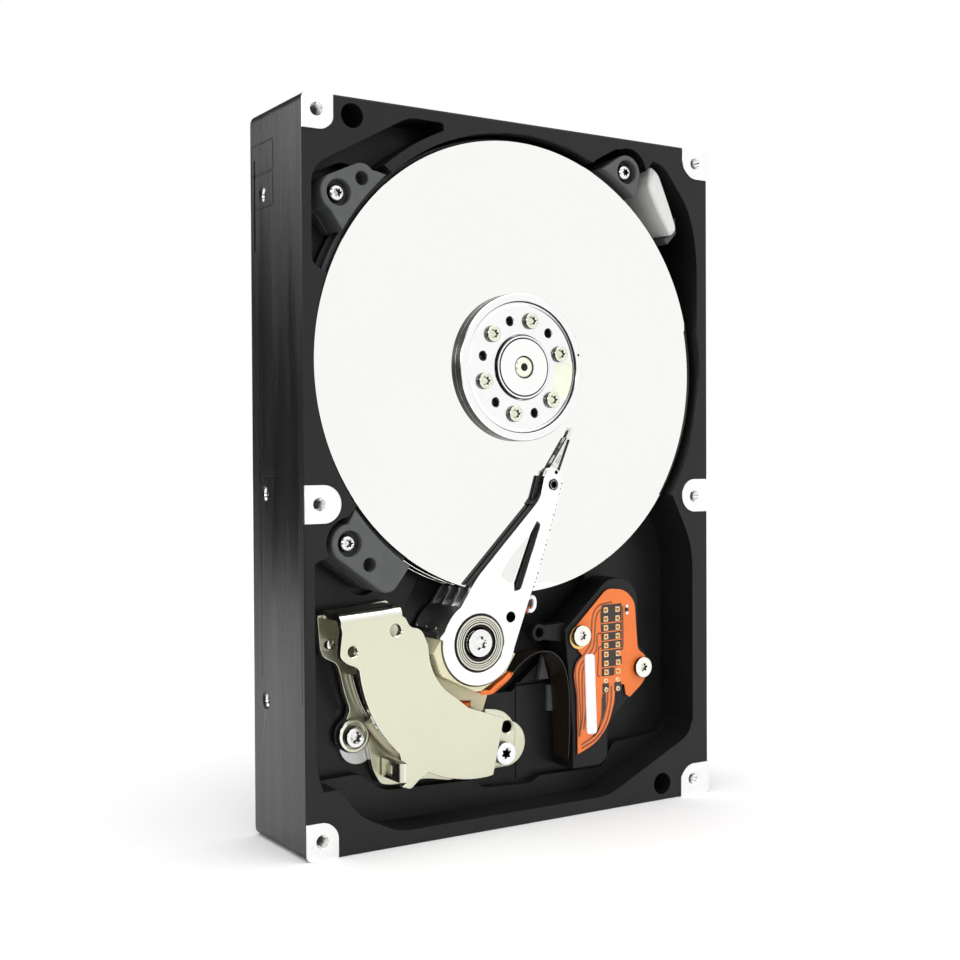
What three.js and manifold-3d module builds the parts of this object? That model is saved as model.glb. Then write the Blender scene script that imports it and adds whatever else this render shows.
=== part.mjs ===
// A 3.5-inch hard disk drive with its top cover off, standing on its connector end.
//
// Frame: millimetres. +X runs across the width, +Z along the length (up), and +Y from the
// open face towards the circuit board. The origin is the middle of the end the drive stands on.
// Every depth below is measured from the machined front face, towards the circuit board.

import * as THREE from 'three';
import { mergeVertices } from 'three/addons/utils/BufferGeometryUtils.js';
import Module from 'manifold-3d';

const wasm = await Module();
wasm.setup();

// ---------------------------------------------------------------- driving dimensions

const WIDTH = 101.6;
const LENGTH = 147;
const THICKNESS = 25;
const HALF_WIDTH = WIDTH / 2;
const HALF_THICKNESS = THICKNESS / 2;
const CORNER_RADIUS = 2;

const LAND_DEPTH = 0.4;          // painted face, just below the machined pads
const FLOOR_DEPTH = 14.2;        // cavity floor under the disks and the arms
const VCM_FLOOR_DEPTH = 11.7;    // cavity floor under the voice-coil motor
const CASTING_BACK = 18.5;       // outer face of the floor, behind the circuit board
const PLATEAU_BACK = 24;         // outer face of the casting beyond the circuit board
const LEDGE_DEPTH = 9.2;         // step along the lower edge of the cavity
const FIT = 0.3;                 // gap between pieces that touch on the real drive
const ABOVE = -1;                // where a cut from the open face starts
const BELOW = 30;                // where a cut through to the back ends

const SPINDLE = [0, 96.1];
const PLATTER_RADIUS = 47.5;
const PLATTER_BORE = 12.5;
const PLATTER_THICKNESS = 1.27;
const PLATTER_PITCH = 3.87;
const FIRST_PLATTER = 2.6;
const PLATTER_COUNT = 3;
const DISK_CAVITY_RADIUS = 48.6;
const CLAMP_RADIUS = 15.5;
const CLAMP_SCREW_CIRCLE = 10;
const CLAMP_SCREW_COUNT = 6;
const CLAMP_SCREW_START = 18;

const PIVOT = [-11, 39];
const BEARING_RADIUS = 6.2;
const ARM_TOP = 0.9;
const ARM_THICKNESS = 1;
const ARM_PITCH = PLATTER_PITCH;
const HEAD_REACH = 49.4;         // pivot axis to read head
const HEAD_ANGLE = 61.05;        // direction of the head at rest, from +X towards +Z
const COIL_ANGLE = 241;          // direction of the coil at rest
const SWAGE = [7.8, 71.4];

const SIDE_HOLE_HEIGHTS = [28.5, 70.1, 130.1];
const SIDE_HOLE_DEPTH = THICKNESS - 6.35;
const SIDE_HOLE_REACH = 4;
const BOTTOM_HOLE_X = 95.25 / 2;
const BOTTOM_HOLE_HEIGHTS = [41.28, 85.73];
const UNC6_RADIUS = 1.5;         // tapped hole for a 6-32 UNC screw

const BAY_HALF_WIDTH = 46.3;     // hollow of the casting's back, between its side rails
const BOARD_FRONT = 19.4;
const BOARD_BACK = 20.6;

const finishes = {
  castPaint: { color: 0x2b2c2e, roughness: 0.5, metalness: 0.3 },
  mouldedPlastic: { color: 0x3d3e41, roughness: 0.6, metalness: 0 },
  creamPlastic: { color: 0xe6dfc4, roughness: 0.5, metalness: 0 },
  nickelPlate: { color: 0xdcd6c0, roughness: 0.25, metalness: 1 },
  steel: { color: 0xc9c9c4, roughness: 0.25, metalness: 1 },
  machinedAluminium: { color: 0xe9e9ea, roughness: 0.25, metalness: 1 },
  mirrorPlatter: { color: 0xf2f1ea, roughness: 0.04, metalness: 1 },
  copper: { color: 0xb4602c, roughness: 0.35, metalness: 1 },
  gold: { color: 0xd8b15a, roughness: 0.3, metalness: 1 },
  magnetNickel: { color: 0x9a9a98, roughness: 0.3, metalness: 1 },
  orangeFlex: { color: 0xee7a2c, roughness: 0.45, metalness: 0 },
  brownFlex: { color: 0x4a2e1a, roughness: 0.4, metalness: 0 },
  whiteFabric: { color: 0xf2f2f0, roughness: 0.95, metalness: 0 },
  boardGreen: { color: 0x1f5137, roughness: 0.5, metalness: 0 },
  chipBlack: { color: 0x17181a, roughness: 0.6, metalness: 0 },
  rubber: { color: 0x222222, roughness: 0.85, metalness: 0 },
};

// ---------------------------------------------------------------- solids

// A closed geometry as a solid that can be joined and cut.
function solidOf(geometry) {
  const bare = new THREE.BufferGeometry();
  bare.setAttribute('position', geometry.getAttribute('position'));
  if (geometry.index) {
    bare.setIndex(geometry.index);
  }
  const merged = mergeVertices(bare, 1e-4);
  const index = merged.index.array;
  const corners = [];
  for (let i = 0; i < index.length; i += 3) {
    const [a, b, c] = [index[i], index[i + 1], index[i + 2]];
    if (a !== b && b !== c && c !== a) {
      corners.push(a, b, c);
    }
  }
  return new wasm.Manifold(new wasm.Mesh({
    numProp: 3,
    vertProperties: new Float32Array(merged.getAttribute('position').array),
    triVerts: new Uint32Array(corners),
  }));
}

function geometryOf(solid) {
  const { vertProperties, triVerts } = solid.getMesh();
  const geometry = new THREE.BufferGeometry();
  geometry.setAttribute('position', new THREE.BufferAttribute(vertProperties, 3));
  geometry.setIndex(new THREE.BufferAttribute(triVerts, 1));
  geometry.computeVertexNormals();
  return geometry;
}

function join(first, ...others) {
  return others.reduce((sum, other) => sum.add(other), first);
}

function cut(body, ...tools) {
  return tools.reduce((rest, tool) => rest.subtract(tool), body);
}

// ---------------------------------------------------------------- outlines in X and Z

const radians = THREE.MathUtils.degToRad;

function polar([cx, cz], radius, degrees) {
  return [cx + radius * Math.cos(radians(degrees)), cz + radius * Math.sin(radians(degrees))];
}

// Points along an arc, both ends included.
function arc(centre, radius, from, to, steps) {
  const headings = Array.from({ length: steps + 1 }, (_, i) => from + ((to - from) * i) / steps);
  return headings.map((heading) => polar(centre, radius, heading));
}

function circle(centre, radius, steps = 12) {
  return arc(centre, radius, 0, 360 * (1 - 1 / steps), steps - 1);
}

// A corner with a third number is rounded by about that radius.
function rounded(corners, steps = 3) {
  return corners.flatMap(([x, z, radius = 0], i) => {
    if (radius === 0) {
      return [[x, z]];
    }
    const corner = new THREE.Vector2(x, z);
    const [before, after] = [-1, 1].map((side) => {
      const [nx, nz] = corners[(i + side + corners.length) % corners.length];
      const towards = new THREE.Vector2(nx - x, nz - z);
      const reach = Math.min(radius, towards.length() * 0.45);
      return towards.setLength(reach).add(corner);
    });
    const bend = new THREE.QuadraticBezierCurve(before, corner, after);
    return bend.getPoints(steps).map((point) => [point.x, point.y]);
  });
}

function rectangle(x0, x1, z0, z1, radius = 0) {
  return rounded([[x0, z0, radius], [x1, z0, radius], [x1, z1, radius], [x0, z1, radius]]);
}

// A bar with round ends, from one point to another.
function slot([x0, z0], [x1, z1], halfWidth, steps = 5) {
  const heading = THREE.MathUtils.radToDeg(Math.atan2(z1 - z0, x1 - x0));
  return [
    ...arc([x1, z1], halfWidth, heading - 90, heading + 90, steps),
    ...arc([x0, z0], halfWidth, heading + 90, heading + 270, steps),
  ];
}

// ---------------------------------------------------------------- basic bodies

// An outline in X and Z, solid between two depths.
function plate(outline, front, back) {
  const shape = new THREE.Shape(outline.map(([x, z]) => new THREE.Vector2(x, z)));
  const geometry = new THREE.ExtrudeGeometry(shape, { depth: back - front, bevelEnabled: false });
  geometry.rotateX(Math.PI / 2);
  geometry.translate(0, back - HALF_THICKNESS, 0);
  return solidOf(geometry);
}

function disc(centre, radius, front, back, steps = 12) {
  return plate(circle(centre, radius, steps), front, back);
}

// A closed profile of radius and depth pairs, turned round an axis parallel to Y.
function turned(profile, [x, z], steps = 16) {
  const points = profile.map(([radius, depth]) => new THREE.Vector2(radius, depth - HALF_THICKNESS));
  if (THREE.ShapeUtils.isClockWise(points)) {
    points.reverse();
  }
  points.push(points[0].clone());
  const geometry = new THREE.LatheGeometry(points, steps);
  geometry.translate(x, 0, z);
  return solidOf(geometry);
}

function ring(centre, inner, outer, front, back, steps) {
  return turned([[inner, front], [outer, front], [outer, back], [inner, back]], centre, steps);
}

// A screw seen from its head: the head's top and underside, then the tip of its shank.
function screw(centre, { head, shank, top, seat, tip }, steps = 10) {
  return turned([[0, top], [head, top], [head, seat], [shank, seat], [shank, tip], [0, tip]], centre, steps);
}

// A round hole into a side wall, along X.
function sideHole(side, z, radius, reach) {
  const geometry = new THREE.CylinderGeometry(radius, radius, reach, 8);
  geometry.rotateZ(Math.PI / 2);
  geometry.translate(side * (HALF_WIDTH - reach / 2 + 0.5), SIDE_HOLE_DEPTH - HALF_THICKNESS, z);
  return solidOf(geometry);
}

// ---------------------------------------------------------------- the model

const drive = new THREE.Group();

function add(name, finish, solid) {
  const material = new THREE.MeshStandardMaterial(finishes[finish]);
  const mesh = new THREE.Mesh(geometryOf(solid), material);
  mesh.name = name;
  drive.add(mesh);
}

// Separator ears, each with its screw: they stand in pockets outside the disks. The lobes of an
// ear run clockwise (centre, radius, first and last heading); its span is the arc along the disks.
const ears = [
  {
    screw: [-42.7, 128.5],
    hole: [-37.7, 131.7],
    lobes: [[[-42.7, 128.5], 3.9, 240, 125], [[-37.7, 131.7], 3, 120, 40]],
    span: [131, 149],
  },
  {
    screw: [28, 139.9],
    hole: null,
    lobes: [[[28, 139.9], 3.7, 125, -30]],
    span: [52, 64],
  },
  {
    screw: [-40.8, 60.6],
    hole: [-36.5, 56.3],
    lobes: [[[-32.6, 53.6], 3, 310, 228], [[-40.8, 60.6], 3.9, 222, 95]],
    span: [216, 236],
  },
];
const EAR_TOP = 0.8;
const EAR_JOINT = 7;
const EAR_POCKET_GAP = 1.4;
const EAR_INNER = 48.9;          // ears stay outside the disks; their links reach in under the rim
const LINK_INNER = 46;

function earOutline(ear, grow, inner) {
  const lobes = ear.lobes.flatMap(([centre, radius, from, to]) => arc(centre, radius + grow, from, to, 5));
  const [from, to] = ear.span;
  return [...lobes, ...arc(SPINDLE, inner, from - grow, to + grow, 3)];
}

// ------------------------------------------------ base casting

const padCorners = {
  topLeft: [[-50.8, 147, 1.5], [-50.8, 139.9], [-46.2, 139.9, 1.2], [-44.2, 141.5, 1.2], [-44.2, 147]],
  topRight: [[50.8, 147, 1.5], [43.3, 147], [43.3, 142.6, 1.5], [45.8, 140.1, 1.5], [50.8, 140.1]],
  bottomLeft: [[-50.8, 0, 1.5], [-44, 0], [-44, 5.2, 1.5], [-46.2, 7.3, 1.5], [-50.8, 7.3]],
  bottomRight: [[50.8, 0, 1.5], [50.8, 7.2], [45, 7.2, 1.5], [42.5, 5, 1.5], [42.5, 0]],
};
const padHoles = [[-47.8, 143.6], [47, 143.6], [-47.7, 68.4], [46.6, 68.2], [-47.5, 3.7], [46, 3.7]];
const openHoles = [[-40, 143.4], [37.2, 3.7]];
const MIDDLE_PAD_HEIGHT = 68.4;
const MIDDLE_PAD_HALF = 3.7;

function middlePad(side) {
  const middle = [side * 46.7, MIDDLE_PAD_HEIGHT];
  const start = side > 0 ? 90 : -90;
  return [
    [side * HALF_WIDTH, middle[1] - side * MIDDLE_PAD_HALF],
    [side * HALF_WIDTH, middle[1] + side * MIDDLE_PAD_HALF],
    ...arc(middle, MIDDLE_PAD_HALF, start, start + 180, 8),
  ];
}

const POCKET_DEPTH = 9;
const CAVITY_STEPS = 60;

function openFaceCuts() {
  const lowerCavity = rounded([
    [-48.6, 57], [-48.6, 18, 4], [-43.7, 13, 3], [-39, 7.1, 3], [-30.6, 3, 3], [22, 3, 3],
    [45.1, 13.8, 3], [46.3, 18, 2], [46.3, 57, 5], [40.5, 68.5], [30, 72], [-34, 64],
  ]);
  const filterPocket = rounded([
    [26, 132], [33.3, 140.8], [35, 143], [38.4, 142, 2], [45.5, 133.1, 4], [47.8, 124, 6],
    [47.8, 106], [30, 110],
  ]);
  const topLeftPocket = rounded([
    [-19.3, 142.6, 1], [-19.3, 144.6, 1], [-27.3, 144.7, 2], [-47.2, 133.8, 2.5], [-48.8, 131, 1.5],
    [-48.8, 114.4, 1.5], [-45.3, 112.6], [-40, 112.6], [-33, 124],
  ]);
  const landStrip = [
    ...arc(SPINDLE, DISK_CAVITY_RADIUS, 112, 130, 8),
    ...arc(SPINDLE, 50.7, 130.5, 112, 8),
  ];
  const pocket = cut(plate(topLeftPocket, ABOVE, POCKET_DEPTH), plate(landStrip, ABOVE, BELOW));
  const armSweep = [[-24, 44], [-22, 36], [-13, 26.5], [4, 26], [24, 42], [24, 66], [-14, 62]];
  const topRightRelief = rounded([[18, 138], [18.5, 141.2, 1], [26, 145.2, 2], [30, 138]]);
  const ledge = rounded([
    [-50, 0], [50, 0], [50, 17], [43, 13.2], [31, 12.2, 2], [15, 6.4, 3], [-5, 7.3, 2],
    [-7.5, 9, 2], [-29.2, 9.2, 2], [-33.7, 13.2, 2], [-50, 13.2],
  ]);
  const fullDepth = cut(plate(lowerCavity, ABOVE, VCM_FLOOR_DEPTH), plate(ledge, LEDGE_DEPTH, BELOW));
  return [
    disc(SPINDLE, DISK_CAVITY_RADIUS, ABOVE, FLOOR_DEPTH, CAVITY_STEPS),
    fullDepth,
    plate(armSweep, LEDGE_DEPTH, FLOOR_DEPTH),
    plate(filterPocket, ABOVE, FLOOR_DEPTH),
    pocket,
    ...ears.map((ear) => plate(earOutline(ear, EAR_POCKET_GAP, LINK_INNER), ABOVE, FLOOR_DEPTH)),
    plate(topRightRelief, ABOVE, FLOOR_DEPTH),
  ];
}

const boardScrews = [[-40, 74], [40, 74], [-40, 8], [40, 14]];
const BOARD_SCREW_HOLE = 1.3;
const BOARD_SCREW_REACH = 3;     // into the casting behind the board
const BOSS_RADIUS = 4;           // round the tapped holes of the back face
const TAPPED_DEPTH = 5;
const MOTOR_BORE = 13.3;
const MOTOR_RECESS = 17;
const MOTOR_RECESS_DEPTH = 21.5;
const SHAFT_SOCKET = 2.6;
const PAD_BACK = 1;
const PAD_HOLE = 1.3;
const PAD_HOLE_DEPTH = 7;
const OPEN_HOLE = 2.4;
const OPEN_HOLE_DEPTH = 8;

function backCuts() {
  const bosses = BOTTOM_HOLE_HEIGHTS.flatMap((z) => [-1, 1].map((side) => [side * BOTTOM_HOLE_X, z]));
  const pockets = [
    plate(rectangle(-BAY_HALF_WIDTH, BAY_HALF_WIDTH, -5, 80), CASTING_BACK, BELOW),
    plate(rectangle(-BAY_HALF_WIDTH, BAY_HALF_WIDTH, 84, 142, 3), PLATEAU_BACK, BELOW),
  ];
  const keptBosses = bosses.map((boss) => disc(boss, BOSS_RADIUS, FLOOR_DEPTH, BELOW + 1));
  return [
    ...pockets.map((pocket) => cut(pocket, ...keptBosses)),
    plate(rectangle(-BAY_HALF_WIDTH, BAY_HALF_WIDTH, 79, 85), PLATEAU_BACK, BELOW),
    ...bosses.map((boss) => disc(boss, UNC6_RADIUS, THICKNESS - TAPPED_DEPTH, BELOW)),
    ...boardScrews.map((at) => disc(at, BOARD_SCREW_HOLE, CASTING_BACK - BOARD_SCREW_REACH, BELOW, 8)),
    disc(SPINDLE, MOTOR_RECESS, MOTOR_RECESS_DEPTH, BELOW, 24),
    disc(SPINDLE, MOTOR_BORE, FLOOR_DEPTH - 2, BELOW, 24),
  ];
}

function baseCasting() {
  const outline = rectangle(-HALF_WIDTH, HALF_WIDTH, 0, LENGTH, CORNER_RADIUS);
  const pads = [
    ...Object.values(padCorners).map((corners) => plate(rounded(corners), 0, PAD_BACK)),
    plate(middlePad(-1), 0, PAD_BACK),
    plate(middlePad(1), 0, PAD_BACK),
  ];
  const frontHoles = [
    ...padHoles.map((at) => disc(at, PAD_HOLE, ABOVE, PAD_HOLE_DEPTH, 8)),
    ...openHoles.map((at) => disc(at, OPEN_HOLE, ABOVE, OPEN_HOLE_DEPTH)),
  ];
  const sideHoles = SIDE_HOLE_HEIGHTS.flatMap((z) => (
    [-1, 1].map((side) => sideHole(side, z, UNC6_RADIUS, SIDE_HOLE_REACH))
  ));
  return cut(
    join(plate(outline, LAND_DEPTH, THICKNESS), ...pads),
    ...openFaceCuts(),
    ...backCuts(),
    ...frontHoles,
    ...sideHoles,
    disc(PIVOT, SHAFT_SOCKET, VCM_FLOOR_DEPTH - 1, CASTING_BACK - 1.5),
  );
}

add('base_casting', 'castPaint', baseCasting());

// ------------------------------------------------ separators between the disks

const SEPARATOR_INNER = 22;
const SEPARATOR_OUTER = 48.1;
const SEPARATOR_FROM = 57;
const SEPARATOR_TO = 221;
const SEPARATOR_THICKNESS = 1;

function separator(earFront, earBack, plateCentre) {
  const sheet = [
    ...arc(SPINDLE, SEPARATOR_OUTER, SEPARATOR_FROM, SEPARATOR_TO, 24),
    ...arc(SPINDLE, SEPARATOR_INNER, SEPARATOR_TO, SEPARATOR_FROM, 12),
  ];
  const front = plateCentre - SEPARATOR_THICKNESS / 2;
  const back = plateCentre + SEPARATOR_THICKNESS / 2;
  const columns = ears.map((ear) => plate(earOutline(ear, 0, EAR_INNER), earFront, earBack));
  const links = ears.map((ear) => plate(earOutline(ear, -0.05, LINK_INNER), front, back));
  const shankHoles = ears.map((ear) => disc(ear.screw, 1.6, ABOVE, BELOW, 8));
  return cut(join(plate(sheet, front, back), ...links, ...columns), ...shankHoles);
}

const gapCentre = (gap) => FIRST_PLATTER + PLATTER_THICKNESS + (PLATTER_PITCH - PLATTER_THICKNESS) / 2
  + gap * PLATTER_PITCH;
const counterbores = ears.map((ear) => disc(ear.screw, 2.6, ABOVE, 3.2));
const earHoles = ears.filter((ear) => ear.hole).map((ear) => disc(ear.hole, 1.4, ABOVE, 5, 8));
const upperSeparator = separator(EAR_TOP, EAR_JOINT, gapCentre(0));
add('separator_upper', 'mouldedPlastic', cut(upperSeparator, ...counterbores, ...earHoles));
add('separator_lower', 'mouldedPlastic', separator(EAR_JOINT + FIT, FLOOR_DEPTH - FIT, gapCentre(1)));
ears.forEach((ear, i) => {
  const sizes = { head: 1.75, shank: 1.2, top: 1.2, seat: 2.9, tip: FLOOR_DEPTH - FIT };
  add(`separator_screw_${i + 1}`, 'steel', screw(ear.screw, sizes));
});

// ------------------------------------------------ recirculation filter

const filterOutline = rounded([
  [35.2, 142.2, 0.8], [37.6, 140.8, 1], [41.2, 133, 2], [42.9, 128.6, 1], [41.2, 126.9, 0.8],
  [37.6, 131.8, 2], [34.6, 137.4, 1],
]);
add('recirculation_filter', 'whiteFabric', plate(filterOutline, 1.4, FLOOR_DEPTH - FIT));

// ------------------------------------------------ disks and spindle

const platterFront = (i) => FIRST_PLATTER + i * PLATTER_PITCH;
const DISK_STEPS = 48;
const FLANGE_RADIUS = 16;        // hub flange that the lowest disk sits on

for (let i = 0; i < PLATTER_COUNT; i += 1) {
  const front = platterFront(i);
  const back = front + PLATTER_THICKNESS;
  const platter = ring(SPINDLE, PLATTER_BORE + 0.1, PLATTER_RADIUS, front, back, DISK_STEPS);
  add(`platter_${i + 1}`, 'mirrorPlatter', platter);
}
for (let i = 0; i < PLATTER_COUNT - 1; i += 1) {
  const front = platterFront(i) + PLATTER_THICKNESS + 0.1;
  const back = platterFront(i + 1) - 0.1;
  const spacer = ring(SPINDLE, PLATTER_BORE + 0.1, FLANGE_RADIUS, front, back, 24);
  add(`spacer_ring_${i + 1}`, 'machinedAluminium', spacer);
}

const HUB_RADIUS = 12.3;
const HUB_CAP_RADIUS = 6.5;
const CAP_TOP = 0.3;
const SHAFT_RADIUS = 2.15;
const STATOR_ROOM = 11.3;
const LAST_PLATTER_BACK = platterFront(PLATTER_COUNT - 1) + PLATTER_THICKNESS;
const clampScrewPlaces = Array.from(
  { length: CLAMP_SCREW_COUNT },
  (_, i) => polar(SPINDLE, CLAMP_SCREW_CIRCLE, CLAMP_SCREW_START + (i * 360) / CLAMP_SCREW_COUNT),
);

function spindleHub() {
  const flange = LAST_PLATTER_BACK + 0.1;
  const body = turned([
    [SHAFT_RADIUS + FIT, CAP_TOP], [HUB_CAP_RADIUS - 0.4, CAP_TOP], [HUB_CAP_RADIUS, CAP_TOP + 0.4],
    [HUB_CAP_RADIUS, 2.7], [HUB_RADIUS, 2.7], [HUB_RADIUS, flange], [FLANGE_RADIUS, flange],
    [FLANGE_RADIUS, 13.2], [12.6, 13.2], [12.6, 17.4], [STATOR_ROOM + FIT, 17.4], [STATOR_ROOM + FIT, 6.2],
    [SHAFT_RADIUS + FIT, 6.2],
  ], SPINDLE, 24);
  return cut(body, ...clampScrewPlaces.map((at) => disc(at, 1.2, 0, 5.4, 8)));
}

function diskClamp() {
  const body = turned([
    [HUB_CAP_RADIUS + 0.4, 1], [13.3, 1], [13.9, 0.7], [CLAMP_RADIUS - 0.9, 0.7], [CLAMP_RADIUS, 1.3],
    [CLAMP_RADIUS, 2.5], [13.4, 2.5], [13.1, 2.2], [HUB_CAP_RADIUS + 0.4, 2.2],
  ], SPINDLE, 32);
  const step = 360 / CLAMP_SCREW_COUNT;
  const tappedPlaces = clampScrewPlaces.map((_, i) => (
    polar(SPINDLE, CLAMP_SCREW_CIRCLE, CLAMP_SCREW_START + (i + 0.5) * step)
  ));
  return cut(
    body,
    ...clampScrewPlaces.map((at) => disc(at, 1.2, 0, 5, 8)),
    ...tappedPlaces.map((at) => disc(at, 0.8, 0, 5, 6)),
  );
}

add('spindle_hub', 'machinedAluminium', spindleHub());
add('spindle_shaft', 'steel', disc(SPINDLE, SHAFT_RADIUS, CAP_TOP - 0.2, 17.6, 16));
add('disk_clamp', 'machinedAluminium', diskClamp());
clampScrewPlaces.forEach((at, i) => {
  const sizes = { head: 1.7, shank: 0.9, top: 0.1, seat: 0.9, tip: 5.1 };
  add(`clamp_screw_${i + 1}`, 'steel', screw(at, sizes));
});
add('rotor_magnet', 'magnetNickel', ring(SPINDLE, 10, STATOR_ROOM, 8, 17, 24));

// ------------------------------------------------ spindle motor, fixed half

const STATOR_TEETH = 9;

function motorStator() {
  const teeth = Array.from({ length: STATOR_TEETH }, (_, i) => {
    const heading = (i * 360) / STATOR_TEETH;
    return plate(slot(polar(SPINDLE, 5.2, heading), polar(SPINDLE, 8, heading), 1.3, 2), 9.5, 15.5);
  });
  return join(ring(SPINDLE, 4, 5.6, 9.5, 15.5, 18), ...teeth);
}

function motorBase() {
  return turned([
    [SHAFT_RADIUS + FIT, 7.4], [3.6, 7.4], [3.6, 17.9], [13, 17.9], [13, 21.8], [16.6, 21.8],
    [16.6, 22.9], [6, 22.9], [5, 22.4], [0, 22.4], [0, 18.2], [SHAFT_RADIUS + FIT, 18.2],
  ], SPINDLE, 24);
}

add('motor_stator', 'copper', motorStator());
add('motor_base', 'machinedAluminium', motorBase());

// ------------------------------------------------ head actuator

const ARM_COUNT = PLATTER_COUNT + 1;
const BLOCK_RADIUS = 8.8;
const ARM_BOTTOM = ARM_TOP + (ARM_COUNT - 1) * ARM_PITCH + ARM_THICKNESS - 0.3;
// The first arm lies over the first disk; the others lie midway in the gaps below it.
const armFront = (i) => (i === 0 ? ARM_TOP : gapCentre(i - 1) - ARM_THICKNESS / 2);
const armOutline = rounded([
  [-19.7, 42, 1], [-16.8, 44.6, 1], [-11.8, 52.2, 2], [4.4, 68.4, 2], [5.6, 73.4, 1], [6.6, 75.2, 1],
  [9.6, 74.4, 1], [10.2, 72.2, 1], [6.4, 59.6], [0.6, 45.1], [-2.6, 36.8], [-10, 36],
], 1);
const blockOutline = [polar(PIVOT, BLOCK_RADIUS, 60), [0.6, 45.1], [-2.6, 36.8], [-10, 36]];
const armWindow = rounded([[2.7, 63.8, 0.6], [-6, 52.4, 1], [-1.7, 49.6, 1]], 1);
const collarNotch = rounded([[-24, 40.6], [-19.5, 42.2], [-18.6, 41], [-20.5, 38]]);
const SWAGE_HOLE = 1.25;

function headArmBlock() {
  const body = join(
    disc(PIVOT, BLOCK_RADIUS, ARM_TOP, ARM_BOTTOM, 24),
    plate(blockOutline, ARM_TOP, ARM_BOTTOM),
  );
  const arms = Array.from({ length: ARM_COUNT }, (_, i) => {
    const front = armFront(i);
    const arm = plate(armOutline, front, front + ARM_THICKNESS);
    return cut(arm, plate(armWindow, ABOVE, BELOW), disc(SWAGE, SWAGE_HOLE, ABOVE, BELOW, 8));
  });
  return cut(
    join(body, ...arms),
    disc(PIVOT, BEARING_RADIUS + FIT, ABOVE, BELOW, 24),
    disc([-3.2, 43.9], 1, ABOVE, 6, 8),
    plate(collarNotch, ABOVE, BELOW),
  );
}

const PIVOT_BORE = 3.2;
const BEARING_BACK = 13;

function pivotBearing() {
  return turned([
    [PIVOT_BORE, 0.9], [3.9, 0.9], [4.1, 1.2], [5, 1.2], [5.2, 0.8], [BEARING_RADIUS, 0.8],
    [BEARING_RADIUS, BEARING_BACK], [PIVOT_BORE, BEARING_BACK],
  ], PIVOT, 24);
}

// A ring sector about the pivot, centred on the coil's direction.
function coilSector(inner, outer, halfAngle, steps = 8) {
  return [
    ...arc(PIVOT, outer, COIL_ANGLE - halfAngle, COIL_ANGLE + halfAngle, steps),
    ...arc(PIVOT, inner, COIL_ANGLE + halfAngle, COIL_ANGLE - halfAngle, steps),
  ];
}

const COIL_FRONT = 4.9;
const COIL_BACK = 6.9;
const COIL_HALF_ANGLE = 26;

function coilFrame() {
  const collar = rounded([
    [-22, 38.2, 1], [-20.2, 33, 1], [-11, 28.6, 1], [-4.3, 32.2, 1], [-1.9, 36], [-8, 40], [-19, 41.6],
  ]);
  const body = join(
    plate(collar, 1.3, 9),
    plate(coilSector(9, 28.3, COIL_HALF_ANGLE + 3), COIL_FRONT, COIL_BACK),
  );
  return cut(
    body,
    disc(PIVOT, 9.1, ABOVE, BELOW, 28),
    plate(coilSector(13.6, 27, COIL_HALF_ANGLE + 0.9), ABOVE, BELOW),
    plate(blockOutline, ABOVE, BELOW),
  );
}

function voiceCoil() {
  return cut(
    plate(coilSector(14, 26.7, COIL_HALF_ANGLE), COIL_FRONT, COIL_BACK),
    plate(coilSector(17.6, 22.8, 13), ABOVE, BELOW),
  );
}

add('head_arm_block', 'machinedAluminium', headArmBlock());
add('pivot_bearing', 'steel', pivotBearing());
add('coil_frame', 'creamPlastic', coilFrame());
add('voice_coil', 'copper', voiceCoil());

// Head suspensions: a base plate at the swage hole, a tapering load beam, and the slider.
const BEAM_THICKNESS = 0.15;
const suspensionHeading = [Math.cos(radians(HEAD_ANGLE)), Math.sin(radians(HEAD_ANGLE))];

// A place given as the distance along the suspension and across it, from the pivot axis.
function alongBeam(along, across) {
  const [ux, uz] = suspensionHeading;
  return [PIVOT[0] + along * ux + across * uz, PIVOT[1] + along * uz - across * ux];
}

function suspension(beamFront, sliderFront, sliderBack) {
  const outline = [
    alongBeam(35.4, -1.9), alongBeam(40, -2.1),
    alongBeam(HEAD_REACH - 0.4, -0.5), alongBeam(HEAD_REACH + 1.6, -0.3),
    alongBeam(HEAD_REACH + 1.6, 0.3), alongBeam(HEAD_REACH - 0.4, 0.5),
    alongBeam(40, 2.1), alongBeam(35.4, 1.9),
  ];
  const slider = [
    alongBeam(HEAD_REACH - 0.6, -0.5), alongBeam(HEAD_REACH - 0.6, 0.5),
    alongBeam(HEAD_REACH + 0.6, 0.5), alongBeam(HEAD_REACH + 0.6, -0.5),
  ];
  const beam = plate(outline, beamFront, beamFront + BEAM_THICKNESS);
  return join(beam, plate(slider, sliderFront, sliderBack));
}

const BEAM_GAP = 0.1;
const FLY_GAP = 0.08;

for (let i = 0; i < ARM_COUNT; i += 1) {
  const front = armFront(i);
  const back = front + ARM_THICKNESS;
  const proud = BEAM_GAP + BEAM_THICKNESS;
  const parts = [disc(SWAGE, SWAGE_HOLE - FIT, front - proud, back + proud, 10)];
  if (i > 0) {
    const surface = platterFront(i - 1) + PLATTER_THICKNESS;
    const beam = front - BEAM_GAP - BEAM_THICKNESS;
    parts.push(suspension(beam, surface + FLY_GAP, beam + 0.05));
  }
  if (i < PLATTER_COUNT) {
    const surface = platterFront(i);
    const beam = back + BEAM_GAP;
    parts.push(suspension(beam, beam + BEAM_THICKNESS - 0.05, surface - FLY_GAP));
  }
  add(`head_suspension_${i + 1}`, 'steel', join(...parts));
}

// Preamplifier flex on the side of the arm block.
const armFlexOutline = rounded([[2.7, 44], [3.4, 45.8], [4, 47.8, 0.4], [3, 48, 0.4], [1.6, 45]]);
add('arm_flex', 'orangeFlex', plate(armFlexOutline, 1.6, 5.5));

// ------------------------------------------------ pivot post

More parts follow.
